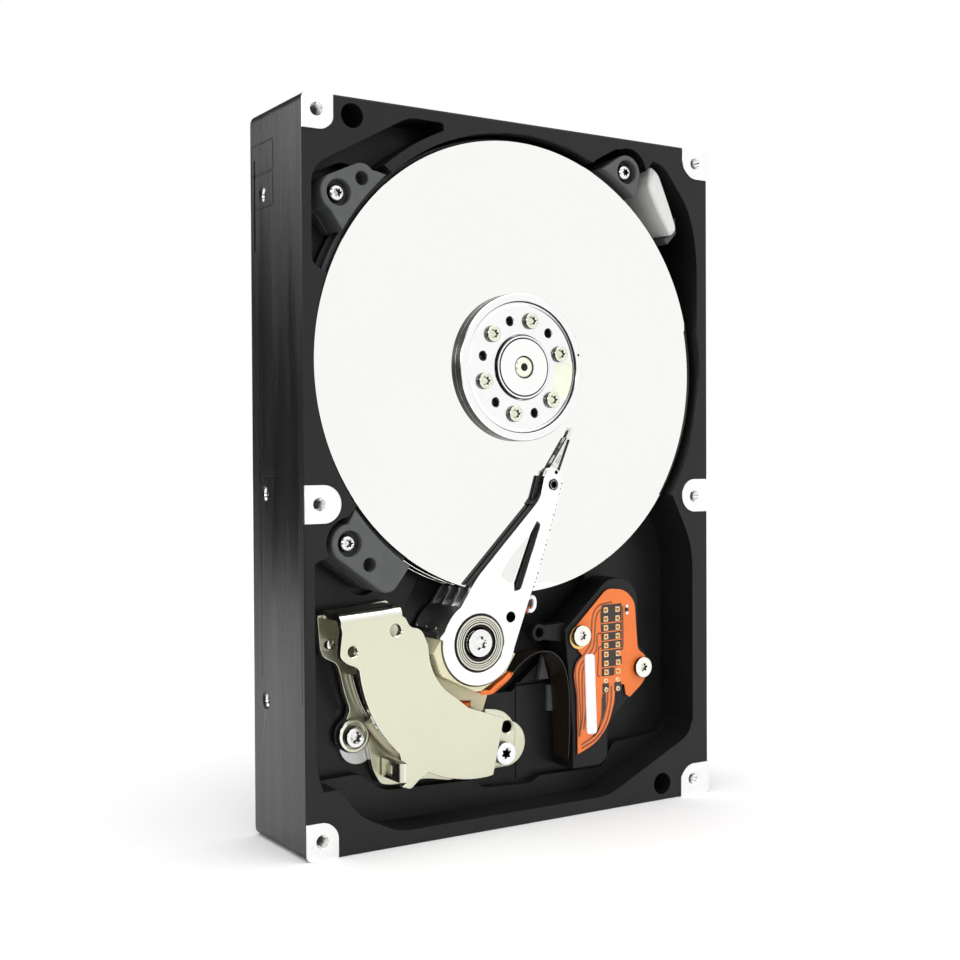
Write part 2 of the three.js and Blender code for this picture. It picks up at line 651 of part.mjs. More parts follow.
const postProfile = [[0, 1.6], [2.8, 1.6], [2.8, 13.4], [2.2, 13.4], [2.2, 16.6], [0, 16.6]];
add('pivot_shaft', 'steel', cut(turned(postProfile, PIVOT, 16), disc(PIVOT, 1.4, ABOVE, 8, 10)));
add('pivot_screw', 'steel', screw(PIVOT, { head: 2.7, shank: 1.1, top: 0.5, seat: 1.3, tip: 7.7 }, 12));

// ------------------------------------------------ voice-coil magnet assembly

const YOKE_OUTER = 28.2;
const YOKE_INNER = 12.2;
const YOKE_TOP = 1;
const YOKE_THICKNESS = 1.5;
const LOWER_YOKE = 9.3;
const LOWER_YOKE_BACK = 10.8;
const yokeScrews = [[-36.2, 21.2], [-1.6, 14.2]];

function topYoke() {
  const outline = rounded([
    [-43, 45.6, 1], [-29.4, 46.6, 1], [-27.4, 43.4, 1], [-24.6, 43, 1.5], [-23.2, 39],
    ...arc(PIVOT, YOKE_INNER, 186, 252, 8),
    [-5, 22.7], [-7.8, 11.4], ...arc(PIVOT, YOKE_OUTER, 274, 244, 5),
    [-26.4, 11.6, 0.6], [-30, 14.6, 0.6], [-28.4, 17.4], ...arc(PIVOT, YOKE_OUTER, 228, 188, 7),
    [-39.6, 36.7, 0.6], [-42, 37.2, 1], [-43, 39, 0.6],
  ]);
  const flange = [[-43, 45], [-43, 47], [-29.4, 47.9], [-29.4, 45.9]];
  const tab = [[-29.8, 15.3], [-26, 12.2], [-27.2, 10.7], [-31, 13.8]];
  return cut(
    join(
      plate(outline, YOKE_TOP, YOKE_TOP + YOKE_THICKNESS),
      plate(flange, YOKE_TOP, LOWER_YOKE - FIT),
      plate(tab, YOKE_TOP, LOWER_YOKE - FIT),
    ),
    disc([-30.6, 43], 1.2, ABOVE, 5, 10),
    disc([-40.2, 39.5], 1, ABOVE, 5, 10),
  );
}

function bottomYoke() {
  const outline = rounded([
    [-44, 47.9, 0.6], [-28, 48.6, 1], [-26, 44, 2], [-23.4, 41],
    ...arc(PIVOT, YOKE_INNER + 1, 190, 250, 8),
    [-4, 23.6, 1], [0.6, 22, 2], [3.4, 17.6, 2], [2.2, 12, 2], [-6, 9.6, 2], [-28.6, 9.9, 2],
    [-33.4, 13, 2], [-33.4, 16.6, 2], [-37, 17.2, 2], [-40, 21, 2], [-37.4, 25.6, 2], [-38.6, 33, 2],
    [-40.4, 36.6, 1], [-43.6, 38, 2],
  ]);
  return cut(
    plate(outline, LOWER_YOKE, LOWER_YOKE_BACK),
    ...yokeScrews.map((at) => disc(at, 1.6, ABOVE, BELOW, 10)),
  );
}

function magnetSector(front, back) {
  const sector = [
    ...arc(PIVOT, 26.8, 190, 270, 10),
    ...arc(PIVOT, 13.6, 270, 190, 10),
  ];
  return plate(sector, front, back);
}

add('yoke_top', 'nickelPlate', topYoke());
add('yoke_bottom', 'nickelPlate', bottomYoke());
add('magnet_top', 'magnetNickel', magnetSector(YOKE_TOP + YOKE_THICKNESS + 0.1, 4.4));
add('magnet_bottom', 'magnetNickel', magnetSector(7.4, LOWER_YOKE - 0.1));
yokeScrews.forEach((at, i) => {
  const top = i === 0 ? 7.6 : 5.2;
  const sizes = { head: 2.3, shank: 1.3, top, seat: LOWER_YOKE - 0.2, tip: VCM_FLOOR_DEPTH - 0.2 };
  add(`yoke_screw_${i + 1}`, 'steel', screw(at, sizes, 12));
});

// Rubber crash stops that the coil frame would meet at either end of its swing.
const crashStops = [polar(PIVOT, 20, 274.6), polar(PIVOT, 24, 177.2)];
crashStops.forEach((at, i) => {
  add(`crash_stop_${i + 1}`, 'rubber', disc(at, 1.3, 4.6, LOWER_YOKE - FIT, 10));
});

// ------------------------------------------------ flex connector

const BRACKET_FRONT = 4.2;
const FLEX_FRONT = 3.7;
const FLEX_BACK = 3.9;
const FLEX_SCREW_HOLE = 1.3;
const flexScrews = [[16.8, 38.2], [33.9, 29.9]];
const RING_ARM_FRONT = 6;
const RING_ARM_BACK = 9;
const ringCentre = [7.7, 39.2];
const bracketOutline = rounded([
  [13, 39.6, 1], [26.4, 50.4, 1.5], [31.4, 48.4, 3], [33.6, 42.4, 2], [33.6, 33.6, 1], [36.4, 31.6, 2],
  [36.2, 28, 2], [32.6, 25, 1], [24.6, 12.6, 1.5], [15, 8.9, 1], [14.8, 30],
]);
const flexOutline = rounded([
  [15, 39.8, 1], [26.3, 48.4, 2], [30.6, 47, 2], [32.4, 42.8, 2], [32.4, 33.6, 1], [35.8, 31.4, 2],
  [35.6, 28.4, 2], [30.4, 23.6, 1], [29.4, 26.4], [28.4, 24], [24.4, 15.4, 2], [16, 11.8], [15.6, 30],
]);

const flexScrewHoles = flexScrews.map((at) => disc(at, FLEX_SCREW_HOLE, ABOVE, 10, 10));

function flexBracket() {
  const ringArm = join(
    plate([[14.6, 41], [8, 40.6], [8, 37.8], [14.6, 36.6]], RING_ARM_FRONT, RING_ARM_BACK),
    disc(ringCentre, 1.9, RING_ARM_FRONT, RING_ARM_BACK, 14),
  );
  return cut(
    join(plate(bracketOutline, BRACKET_FRONT, VCM_FLOOR_DEPTH - FIT), ringArm),
    disc(ringCentre, 1, ABOVE, RING_ARM_BACK - 1, 10),
    ...flexScrewHoles,
  );
}

const PIN_COLUMNS = [23.7, 27];
const PIN_ROWS = 8;
const FIRST_PIN = 25.7;
const PIN_PITCH = 2.51;
const PIN_HALF = 0.5;

function pinHeader() {
  const bed = plate(rectangle(22.3, 28.4, 24.6, 44.6, 0.3), 3.3, FLEX_FRONT - 0.1);
  const pins = PIN_COLUMNS.flatMap((x) => Array.from({ length: PIN_ROWS }, (_, i) => {
    const z = FIRST_PIN + i * PIN_PITCH;
    return plate(rectangle(x - PIN_HALF, x + PIN_HALF, z - PIN_HALF, z + PIN_HALF), 2.9, 3.4);
  }));
  return join(bed, ...pins);
}

const RIBBON_HALF_THICKNESS = 0.15;
const RIBBON_STEPS = 20;

function flexRibbon() {
  const middle = [
    [14.2, 12], [14, 20], [13.7, 27], [12.4, 32.2], [9.8, 34.9], [6.4, 35.4], [3, 34], [0.4, 31.6],
  ];
  const curve = new THREE.CatmullRomCurve3(middle.map(([x, z]) => new THREE.Vector3(x, 0, z)));
  const sides = [1, -1].map((side) => Array.from({ length: RIBBON_STEPS + 1 }, (_, i) => {
    const at = curve.getPointAt(i / RIBBON_STEPS);
    const heading = curve.getTangentAt(i / RIBBON_STEPS);
    const shift = side * RIBBON_HALF_THICKNESS;
    return [at.x - shift * heading.z, at.z + shift * heading.x];
  }));
  return plate([...sides[0], ...sides[1].reverse()], 4.6, 11);
}

add('flex_bracket', 'mouldedPlastic', flexBracket());
add('flex_circuit', 'orangeFlex', cut(
  plate(flexOutline, FLEX_FRONT, FLEX_BACK),
  ...flexScrewHoles,
));
flexScrews.forEach((at, i) => {
  const sizes = { head: 1.95, shank: 1, top: 2.6, seat: FLEX_FRONT - 0.1, tip: 9.7 };
  add(`flex_screw_${i + 1}`, 'steel', screw(at, sizes, 12));
});
add('pin_header', 'gold', pinHeader());
const stiffenerOutline = slot([19.1, 32.6], [19.7, 17.6], 1.2);
add('flex_stiffener', 'whiteFabric', plate(stiffenerOutline, 3, FLEX_FRONT - 0.1));
add('flex_ribbon', 'brownFlex', flexRibbon());

// ------------------------------------------------ circuit board and its parts

function circuitBoard() {
  const outline = [
    [-45.8, 0.8], [45.8, 0.8], [45.8, 79.4], ...arc(SPINDLE, 21, -52.6, -127.4, 12), [-45.8, 79.4],
  ];
  const bossClearance = [-1, 1].map((side) => (
    disc([side * BOTTOM_HOLE_X, BOTTOM_HOLE_HEIGHTS[0]], BOSS_RADIUS + 0.4, FLOOR_DEPTH, BELOW, 20)
  ));
  return cut(
    plate(outline, BOARD_FRONT, BOARD_BACK),
    ...bossClearance,
    ...boardScrews.map((at) => disc(at, BOARD_SCREW_HOLE, FLOOR_DEPTH, BELOW, 8)),
  );
}

const MOUTH_FRONT = 21.8;
const MOUTH_BACK = 23.6;

function sataConnector() {
  const shell = plate(rectangle(-33, 9.5, 0.3, 9), BOARD_BACK + 0.1, 24.6);
  const powerMouth = plate(rectangle(-31.4, -10.4, -1, 6.6), MOUTH_FRONT, MOUTH_BACK);
  const dataMouth = plate(rectangle(-7.2, 3.2, -1, 6.6), MOUTH_FRONT, MOUTH_BACK);
  return cut(shell, powerMouth, dataMouth);
}

add('circuit_board', 'boardGreen', circuitBoard());
const chips = {
  controller_chip: [rectangle(-9, 9, 34, 52), 22.1],
  memory_chip: [rectangle(-26, -15, 24, 42), 21.7],
  motor_driver_chip: [rectangle(16, 26, 52, 62), 21.8],
};
Object.entries(chips).forEach(([name, [outline, back]]) => {
  add(name, 'chipBlack', plate(outline, BOARD_BACK + 0.1, back));
});
add('sata_connector', 'chipBlack', sataConnector());
boardScrews.forEach((at, i) => {
  const tip = CASTING_BACK - BOARD_SCREW_REACH + FIT;
  const sizes = { head: 2.4, shank: 1, top: BOARD_BACK + 1.1, seat: BOARD_BACK + 0.1, tip };
  add(`board_screw_${i + 1}`, 'steel', screw(at, sizes));
});

export default drive;
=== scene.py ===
"""Looks of a 3.5-inch hard disk drive with its cover off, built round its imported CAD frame.

Shapes are made in millimetres as (points, faces), with each point given as (x, depth, z): x across
the width, depth from the machined front face towards the circuit board, z up the drive's length.
"""

import math

import bmesh
import bpy
from mathutils import Matrix, Vector
from mathutils.geometry import tessellate_polygon


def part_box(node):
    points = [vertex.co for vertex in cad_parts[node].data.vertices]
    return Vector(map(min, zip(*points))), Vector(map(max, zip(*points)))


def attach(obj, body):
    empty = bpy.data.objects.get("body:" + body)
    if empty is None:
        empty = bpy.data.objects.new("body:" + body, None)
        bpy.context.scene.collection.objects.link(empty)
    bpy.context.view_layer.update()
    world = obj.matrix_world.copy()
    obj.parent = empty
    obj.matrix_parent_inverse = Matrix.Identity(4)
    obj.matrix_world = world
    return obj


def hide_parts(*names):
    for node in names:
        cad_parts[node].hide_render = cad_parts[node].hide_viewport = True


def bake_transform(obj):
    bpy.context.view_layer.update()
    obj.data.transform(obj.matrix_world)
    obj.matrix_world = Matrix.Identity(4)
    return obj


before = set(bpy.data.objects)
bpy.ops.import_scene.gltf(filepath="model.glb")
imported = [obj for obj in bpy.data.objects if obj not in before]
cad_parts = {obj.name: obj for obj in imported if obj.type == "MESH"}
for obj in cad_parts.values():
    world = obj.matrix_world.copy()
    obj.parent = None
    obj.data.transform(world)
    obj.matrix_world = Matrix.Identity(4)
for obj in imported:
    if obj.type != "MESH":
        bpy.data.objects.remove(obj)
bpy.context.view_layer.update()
MM = 0.001
FACE_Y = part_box("base_casting")[0].y


# ---------------------------------------------------------------- places taken from the frame

def depths(node):
    low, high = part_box(node)
    return (low.y - FACE_Y) / MM, (high.y - FACE_Y) / MM


def middle(node):
    low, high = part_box(node)
    return (low.x + high.x) / 2 / MM, (low.z + high.z) / 2 / MM


def reach(node):
    low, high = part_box(node)
    return (high.x - low.x) / 2 / MM


SPINDLE = middle("platter_1")
PIVOT = middle("pivot_bearing")
THICKNESS = depths("base_casting")[1]
HALF_WIDTH = reach("base_casting")
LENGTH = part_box("base_casting")[1].z / MM


# ---------------------------------------------------------------- outlines in x and z

def polar(centre, radius, degrees):
    angle = math.radians(degrees)
    return centre[0] + radius * math.cos(angle), centre[1] + radius * math.sin(angle)


def arc(centre, radius, start, end, step=3.0):
    """Points along an arc, both ends included."""
    count = max(2, math.ceil(abs(end - start) / step))
    return [polar(centre, radius, start + (end - start) * i / count) for i in range(count + 1)]


def circle(centre, radius, steps=72):
    return [polar(centre, radius, 360 * i / steps) for i in range(steps)]


def rounded(corners, steps=7):
    """A corner with a third number is rounded by about that radius."""
    points = []
    for i, corner in enumerate(corners):
        here = Vector(corner[:2])
        radius = corner[2] if len(corner) > 2 else 0
        if radius == 0:
            points.append(tuple(here))
            continue
        ends = []
        for side in (-1, 1):
            towards = Vector(corners[(i + side) % len(corners)][:2]) - here
            ends.append(here + towards.normalized() * min(radius, towards.length * 0.45))
        for k in range(steps + 1):
            t = k / steps
            point = ends[0] * (1 - t) ** 2 + here * 2 * t * (1 - t) + ends[1] * t * t
            points.append(tuple(point))
    return points


def rectangle(x0, x1, z0, z1, radius=0):
    return rounded([(x0, z0, radius), (x1, z0, radius), (x1, z1, radius), (x0, z1, radius)])


def slot(start, end, half_width, step=15):
    """A bar with round ends, from one point to another."""
    heading = math.degrees(math.atan2(end[1] - start[1], end[0] - start[0]))
    return [
        *arc(end, half_width, heading - 90, heading + 90, step),
        *arc(start, half_width, heading + 90, heading + 270, step),
    ]


def star(centre, radius, turn=0.0):
    """The six-lobed outline of a Torx recess."""
    points = []
    for i in range(48):
        angle = 360 * i / 48
        lobe = 0.83 + 0.17 * math.cos(math.radians(6 * angle))
        points.append(polar(centre, radius * lobe, angle + turn))
    return points


def moved(outline, dx, dz):
    return [(x + dx, z + dz) for x, z in outline]


def signed_area(loop):
    following = loop[1:] + loop[:1]
    return sum(a[0] * b[1] - b[0] * a[1] for a, b in zip(loop, following)) / 2


def clean(loop):
    """The loop without repeated points."""
    kept = []
    for point in loop:
        if not kept or math.dist(point, kept[-1]) > 1e-4:
            kept.append(point)
    if math.dist(kept[0], kept[-1]) < 1e-4:
        kept.pop()
    return kept


def outward(loop):
    """For each point, the way away from the material, so long that each edge moves by one."""
    ways = []
    for i, (x, z) in enumerate(loop):
        before, after = loop[i - 1], loop[(i + 1) % len(loop)]
        first = Vector((z - before[1], before[0] - x)).normalized()
        second = Vector((after[1] - z, x - after[0])).normalized()
        total = first + second
        ways.append(total / max(0.35, 1 + first.dot(second)))
    return ways


def band(path, width):
    """The outline of a strip of even width along a path of (x, z) points."""
    line = [Vector(p) for p in path]
    left, right = [], []
    for i, at in enumerate(line):
        first = (at - line[i - 1]).normalized() if i else (line[1] - at).normalized()
        second = (line[i + 1] - at).normalized() if i < len(line) - 1 else first
        total = Vector((-first.y - second.y, first.x + second.x))
        way = total / max(0.5, 1 + first.dot(second)) * width / 2
        left.append(tuple(at + way))
        right.append(tuple(at - way))
    return left + right[::-1]


def smooth(path, steps=6):
    """A Catmull-Rom curve through the points of a path."""
    line = [Vector(p) for p in path]
    line = [line[0] * 2 - line[1], *line, line[-1] * 2 - line[-2]]
    points = []
    for i in range(1, len(line) - 2):
        a, b, c, d = line[i - 1:i + 3]
        for k in range(steps):
            t = k / steps
            points.append(tuple(((b * 2) + (c - a) * t + (a * 2 - b * 5 + c * 4 - d) * t ** 2
                                 + (b * 3 - a - c * 3 + d) * t ** 3) / 2))
    return [*points, tuple(line[-2])]


# ---------------------------------------------------------------- shapes

def rim(front, back, front_round, back_round, steps=3):
    """(inset, depth) pairs from the front rim to the back rim."""
    pairs = []
    quarter = [math.pi / 2 * i / steps for i in range(steps + 1)]
    if front_round > 0:
        pairs += [(front_round * (1 - math.sin(a)), front + front_round * (1 - math.cos(a))) for a in quarter]
    else:
        pairs.append((0, front))
    if back_round > 0:
        pairs += [(back_round * (1 - math.cos(a)), back - back_round * (1 - math.sin(a))) for a in quarter]
    else:
        pairs.append((0, back))
    return pairs


def plate(outline, front, back, holes=(), edge=0.12, back_edge=None, steps=3):
    """An outline with holes, solid between two depths, its edges rounded."""
    loops = [clean(list(outline))] + [clean(list(hole)) for hole in holes]
    if signed_area(loops[0]) < 0:
        loops[0].reverse()
    for hole in loops[1:]:
        if signed_area(hole) > 0:
            hole.reverse()
    pairs = rim(front, back, edge, edge if back_edge is None else back_edge, steps)
    points, faces, first_ring, last_ring = [], [], [], []
    for loop in loops:
        ways = outward(loop)
        start, count = len(points), len(loop)
        for inset, depth in pairs:
            points += [(x - way[0] * inset, depth, z - way[1] * inset) for (x, z), way in zip(loop, ways)]
        for k in range(len(pairs) - 1):
            for i in range(count):
                j = (i + 1) % count
                a, b = start + k * count + i, start + k * count + j
                faces.append((a, b, b + count, a + count))
        first_ring.append(list(range(start, start + count)))
        last_ring.append(list(range(start + (len(pairs) - 1) * count, start + len(pairs) * count)))
    for rings, turned_over in ((first_ring, True), (last_ring, False)):
        flat = [[Vector((points[i][0], points[i][2], 0)) for i in ring] for ring in rings]
        order = [i for ring in rings for i in ring]
        for triangle in tessellate_polygon(flat):
            corners = [order[i] for i in triangle]
            faces.append(tuple(corners[::-1] if turned_over else corners))
    return points, faces


def turned(profile, centre, steps=96):
    """A closed profile of (radius, depth) points, turned round an axis along the depth."""
    points, faces, columns = [], [], []
    for radius, depth in profile:
        if radius < 1e-6:
            columns.append([len(points)] * steps)
            points.append((centre[0], depth, centre[1]))
        else:
            columns.append(list(range(len(points), len(points) + steps)))
            points += [(x, depth, z) for x, z in circle(centre, radius, steps)]
    for first, second in zip(columns, columns[1:] + columns[:1]):
        for i in range(steps):
            j = (i + 1) % steps
            corners = list(dict.fromkeys((first[i], first[j], second[j], second[i])))
            if len(corners) > 2:
                faces.append(tuple(corners))
    return points, faces


def tube(path, radius, sides=8, closed=False):
    """A round wire along (x, depth, z) points."""
    line = [Vector(p) for p in path]
    count = len(line)
    points, faces = [], []
    side = None
    for i, at in enumerate(line):
        before = line[i - 1] if closed or i > 0 else at
        after = line[(i + 1) % count] if closed or i < count - 1 else at
        along = (after - before).normalized()
        if side is None:
            side = along.orthogonal().normalized()
        side = (side - along * side.dot(along)).normalized()
        up = along.cross(side)
        for k in range(sides):
            angle = 2 * math.pi * k / sides
            points.append(tuple(at + (side * math.cos(angle) + up * math.sin(angle)) * radius))
    for i in range(count if closed else count - 1):
        for k in range(sides):
            a, b = i * sides + k, i * sides + (k + 1) % sides
            c, d = (i + 1) % count * sides + (k + 1) % sides, (i + 1) % count * sides + k
            faces.append((a, b, c, d))
    if not closed:
        faces.append(tuple(reversed(range(sides))))
        faces.append(tuple(range((count - 1) * sides, count * sides)))
    return points, faces


def merged(*shapes):
    points, faces = [], []
    for more_points, more_faces in shapes:
        offset = len(points)
        points += more_points
        faces += [tuple(i + offset for i in face) for face in more_faces]
    return points, faces


def placed(shape, place):
    """The shape with each point passed through place."""
    points, faces = shape
    return [place(*point) for point in points], faces


# ---------------------------------------------------------------- meshes

def mesh_of(name, shape):
    mesh = bpy.data.meshes.new(name)
    mesh.from_pydata(shape[0], [], shape[1])
    work = bmesh.new()
    work.from_mesh(mesh)
    bmesh.ops.recalc_face_normals(work, faces=work.faces)
    work.to_mesh(mesh)
    work.free()
    return mesh


def combined(base, tools, operation="DIFFERENCE", bevel=0.0):
    """The base cut by the tools, or joined with them, its sharp edges then rounded by bevel."""
    holder = bpy.data.objects.new("work", mesh_of("work", base))
    bpy.context.scene.collection.objects.link(holder)
    helpers = []
    for tool in tools:
        helper = bpy.data.objects.new("tool", mesh_of("tool", tool))
        bpy.context.scene.collection.objects.link(helper)
        helper.hide_render = True
        helpers.append(helper)
        modifier = holder.modifiers.new("boolean", "BOOLEAN")
        modifier.operation = operation
        modifier.solver = "MANIFOLD"
        modifier.object = helper
    if bevel:
        modifier = holder.modifiers.new("bevel", "BEVEL")
        modifier.width = bevel
        modifier.segments = 2
        modifier.limit_method = "ANGLE"
        modifier.angle_limit = math.radians(40)
    result = holder.evaluated_get(bpy.context.evaluated_depsgraph_get()).to_mesh()
    shape = [tuple(v.co) for v in result.vertices], [tuple(p.vertices) for p in result.polygons]
    for item in (holder, *helpers):
        mesh = item.data
        bpy.data.objects.remove(item)
        bpy.data.meshes.remove(mesh)
    return shape


def piece(name, body, finish, slot_name, *shapes, nodes=()):
    """One shown piece, made of closed shapes, that rides on a body and stands for CAD nodes."""
    points, faces = merged(*shapes)
    to_frame = [(x * MM, depth * MM + FACE_Y, z * MM) for x, depth, z in points]
    mesh = mesh_of(name, (to_frame, faces))
    mesh.shade_smooth()
    mesh.set_sharp_from_angle(angle=math.radians(38))
    mesh.materials.append(finish)
    item = bpy.data.objects.new(name, mesh)
    bpy.context.scene.collection.objects.link(item)
    weighted = item.modifiers.new("normals", "WEIGHTED_NORMAL")
    weighted.mode = "FACE_AREA"
    weighted.keep_sharp = True
    if body:
        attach(item, body)
    if nodes:
        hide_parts(*nodes)
    return item


def refinished(item, finish, chosen):
    """A second finish on the faces that chosen(normal, (x, depth, z)) picks."""
    item.data.materials.append(finish)
    index = len(item.data.materials) - 1
    for face in item.data.polygons:
        x, y, z = face.center / MM
        if chosen(face.normal, (x, y - FACE_Y / MM, z)):
            face.material_index = index


def within(centre, radius, depth=-10.0):
    """Picks the faces that lie round a centre, deeper than a depth."""
    return lambda normal, at: math.dist((at[0], at[2]), centre) < radius and at[1] > depth


# ---------------------------------------------------------------- finishes

def new_finish(name, color, roughness, metallic=0.0, mottle=None, uneven=None, bumps=(), turned_about=None,
               **sockets):
    """A procedural material. mottle is (size, share) of colour variation and uneven the same for
    roughness; a bump is (size, height) or (size, height, stretch); sizes are in millimetres.
    turned_about adds the fine rings of a lathe tool round that centre."""
    made = bpy.data.materials.new(name)
    made.use_nodes = True
    nodes, links = made.node_tree.nodes, made.node_tree.links
    shader = nodes["Principled BSDF"]
    shader.inputs["Base Color"].default_value = (*color, 1)
    shader.inputs["Roughness"].default_value = roughness
    shader.inputs["Metallic"].default_value = metallic
    for socket, value in sockets.items():
        shader.inputs[socket.replace("_", " ")].default_value = value
    coordinates = nodes.new("ShaderNodeTexCoord").outputs["Object"]

    def noise(size, stretch=(1, 1, 1), detail=3):
        mapping = nodes.new("ShaderNodeMapping")
        mapping.inputs["Scale"].default_value = [1 / (size * MM * s) for s in stretch]
        texture = nodes.new("ShaderNodeTexNoise")
        texture.inputs["Scale"].default_value = 1
        texture.inputs["Detail"].default_value = detail
        links.new(coordinates, mapping.inputs["Vector"])
        links.new(mapping.outputs["Vector"], texture.inputs["Vector"])
        return texture.outputs["Fac"]

    if mottle:
        size, share = mottle[:2]
        mix = nodes.new("ShaderNodeMix")
        mix.data_type = "RGBA"
        mix.inputs["A"].default_value = (*[c * (1 - share) for c in color], 1)
        mix.inputs["B"].default_value = (*[min(1, c * (1 + share)) for c in color], 1)
        links.new(noise(size, *mottle[2:]), mix.inputs["Factor"])
        links.new(mix.outputs["Result"], shader.inputs["Base Color"])
    if uneven:
        size, share = uneven[:2]
        spread = nodes.new("ShaderNodeMapRange")
        spread.inputs["From Min"].default_value = 0.3
        spread.inputs["From Max"].default_value = 0.7
        spread.inputs["To Min"].default_value = roughness * (1 - share)
        spread.inputs["To Max"].default_value = min(1, roughness * (1 + share))
        links.new(noise(size, *uneven[2:]), spread.inputs["Value"])
        links.new(spread.outputs["Result"], shader.inputs["Roughness"])
    normal = None
    for size, height, *stretch in bumps:
        bump = nodes.new("ShaderNodeBump")
        bump.inputs["Distance"].default_value = height * MM
        bump.inputs["Strength"].default_value = 1
        links.new(noise(size, *stretch), bump.inputs["Height"])
        if normal:
            links.new(normal, bump.inputs["Normal"])
        normal = bump.outputs["Normal"]
    if turned_about:
        centre, pitch, height = turned_about
        shift = nodes.new("ShaderNodeVectorMath")
        shift.operation = "SUBTRACT"
        shift.inputs[1].default_value = (centre[0] * MM, 0, centre[1] * MM)
        flatten = nodes.new("ShaderNodeVectorMath")
        flatten.operation = "MULTIPLY"
        flatten.inputs[1].default_value = (1, 0, 1)
        length = nodes.new("ShaderNodeVectorMath")
        length.operation = "LENGTH"
        rings = nodes.new("ShaderNodeTexNoise")
        rings.noise_dimensions = "1D"
        rings.inputs["Scale"].default_value = 1 / (pitch * MM)
        bump = nodes.new("ShaderNodeBump")
        bump.inputs["Distance"].default_value = height * MM
        links.new(coordinates, shift.inputs[0])
        links.new(shift.outputs["Vector"], flatten.inputs[0])
        links.new(flatten.outputs["Vector"], length.inputs[0])
        links.new(length.outputs["Value"], rings.inputs["W"])
        links.new(rings.outputs["Fac"], bump.inputs["Height"])
        if normal:
            links.new(normal, bump.inputs["Normal"])
        normal = bump.outputs["Normal"]
    if normal:
        links.new(normal, shader.inputs["Normal"])
    return made


ALONG_Z = (1, 1, 14)
ALONG_X = (14, 1, 1)

cast_paint = new_finish(
    "cast_paint", (0.007, 0.0073, 0.007), 0.4, mottle=(6, 0.3), uneven=(9, 0.18),
    bumps=[(0.35, 0.012), (1.6, 0.02, ALONG_Z)], Specular_IOR_Level=0.3,
)
pad_metal = new_finish(
    "pad_metal", (0.93, 0.93, 0.93), 0.3, 1.0, mottle=(3, 0.03), bumps=[(0.15, 0.003, ALONG_X)],
)
clamp_metal = new_finish(
    "clamp_metal", (0.9, 0.9, 0.9), 0.2, 1.0, mottle=(5, 0.03), turned_about=(SPINDLE, 0.12, 0.002),
)
hub_metal = new_finish(
    "hub_metal", (0.93, 0.93, 0.92), 0.25, 1.0, mottle=(5, 0.03), turned_about=(SPINDLE, 0.1, 0.0008),
)
arm_metal = new_finish(
    "arm_metal", (0.93, 0.93, 0.93), 0.3, 1.0, mottle=(4, 0.03),
    bumps=[(0.2, 0.003), (1.2, 0.002, (1, 1, 4))],
)
bearing_metal = new_finish(
    "bearing_metal", (0.66, 0.65, 0.56), 0.25, 1.0, mottle=(3, 0.06), turned_about=(PIVOT, 0.08, 0.001),
)
mirror = new_finish(
    "mirror", (0.89, 0.895, 0.868), 0.03, 1.0, mottle=(40, 0.008), turned_about=(SPINDLE, 0.3, 0.00002),
)
screw_steel = new_finish(
    "screw_steel", (0.78, 0.79, 0.66), 0.22, 1.0, mottle=(1.2, 0.1), uneven=(0.8, 0.3), bumps=[(0.25, 0.004)],
)
bright_steel = new_finish(
    "bright_steel", (0.8, 0.8, 0.79), 0.18, 1.0, mottle=(2, 0.05), bumps=[(0.3, 0.002)],
)
nickel = new_finish(
    "nickel", (0.7, 0.7, 0.545), 0.34, 1.0, mottle=(8, 0.03), uneven=(5, 0.1), bumps=[(0.12, 0.001)],
)
dark_nickel = new_finish(
    "dark_nickel", (0.42, 0.41, 0.37), 0.22, 1.0, mottle=(3, 0.1), bumps=[(0.2, 0.002)],
)
ear_plastic = new_finish(
    "ear_plastic", (0.075, 0.078, 0.08), 0.6, mottle=(2, 0.2), bumps=[(0.12, 0.01)],
)
bracket_plastic = new_finish(
    "bracket_plastic", (0.006, 0.0062, 0.0062), 0.5, mottle=(2, 0.2), bumps=[(0.12, 0.01)],
    Specular_IOR_Level=0.3,
)
cream_plastic = new_finish(
    "cream_plastic", (0.69, 0.655, 0.44), 0.45, mottle=(3, 0.08), bumps=[(0.3, 0.008)],
)
copper_wire = new_finish(
    "copper_wire", (0.72, 0.2, 0.06), 0.3, 1.0, mottle=(0.6, 0.2), bumps=[(0.3, 0.01)],
)
gold_plate = new_finish(
    "gold_plate", (0.86, 0.55, 0.2), 0.28, 1.0, mottle=(0.6, 0.12), bumps=[(0.3, 0.004)],
)
orange_film = new_finish(
    "orange_film", (0.79, 0.17, 0.02), 0.4, mottle=(3, 0.12), bumps=[(0.7, 0.006)], Coat_Weight=0.15,
)
trace_film = new_finish(
    "trace_film", (0.2, 0.045, 0.012), 0.35, mottle=(1.5, 0.2), bumps=[(0.5, 0.006)], Coat_Weight=0.3,
)
window_film = new_finish(
    "window_film", (0.03, 0.02, 0.015), 0.3, mottle=(1.5, 0.3), bumps=[(0.3, 0.004)],
)
brown_film = new_finish(
    "brown_film", (0.012, 0.007, 0.003), 0.3, mottle=(4, 0.2), bumps=[(0.8, 0.01)], Coat_Weight=0.4,
)
white_film = new_finish(
    "white_film", (0.85, 0.85, 0.85), 0.5, mottle=(2, 0.02), bumps=[(0.4, 0.004)],
)
felt = new_finish(
    "felt", (0.68, 0.68, 0.66), 0.95, mottle=(0.5, 0.12), bumps=[(0.25, 0.08), (1.4, 0.12)], Sheen_Weight=0.3,
)
mark_film = new_finish(
    "mark_film", (0.88, 0.9, 0.74), 0.3, 0.7, mottle=(2, 0.06), bumps=[(0.2, 0.002)],
)
# Painted shade: a dark metal put on the walls of recesses and holes and on shaded sides, in place of the
# shade they would get.
painted_shade_metal = new_finish(
    "painted_shade_metal", (0.03, 0.03, 0.028), 0.45, 1.0, mottle=(0.6, 0.3), bumps=[(0.2, 0.004)],
)
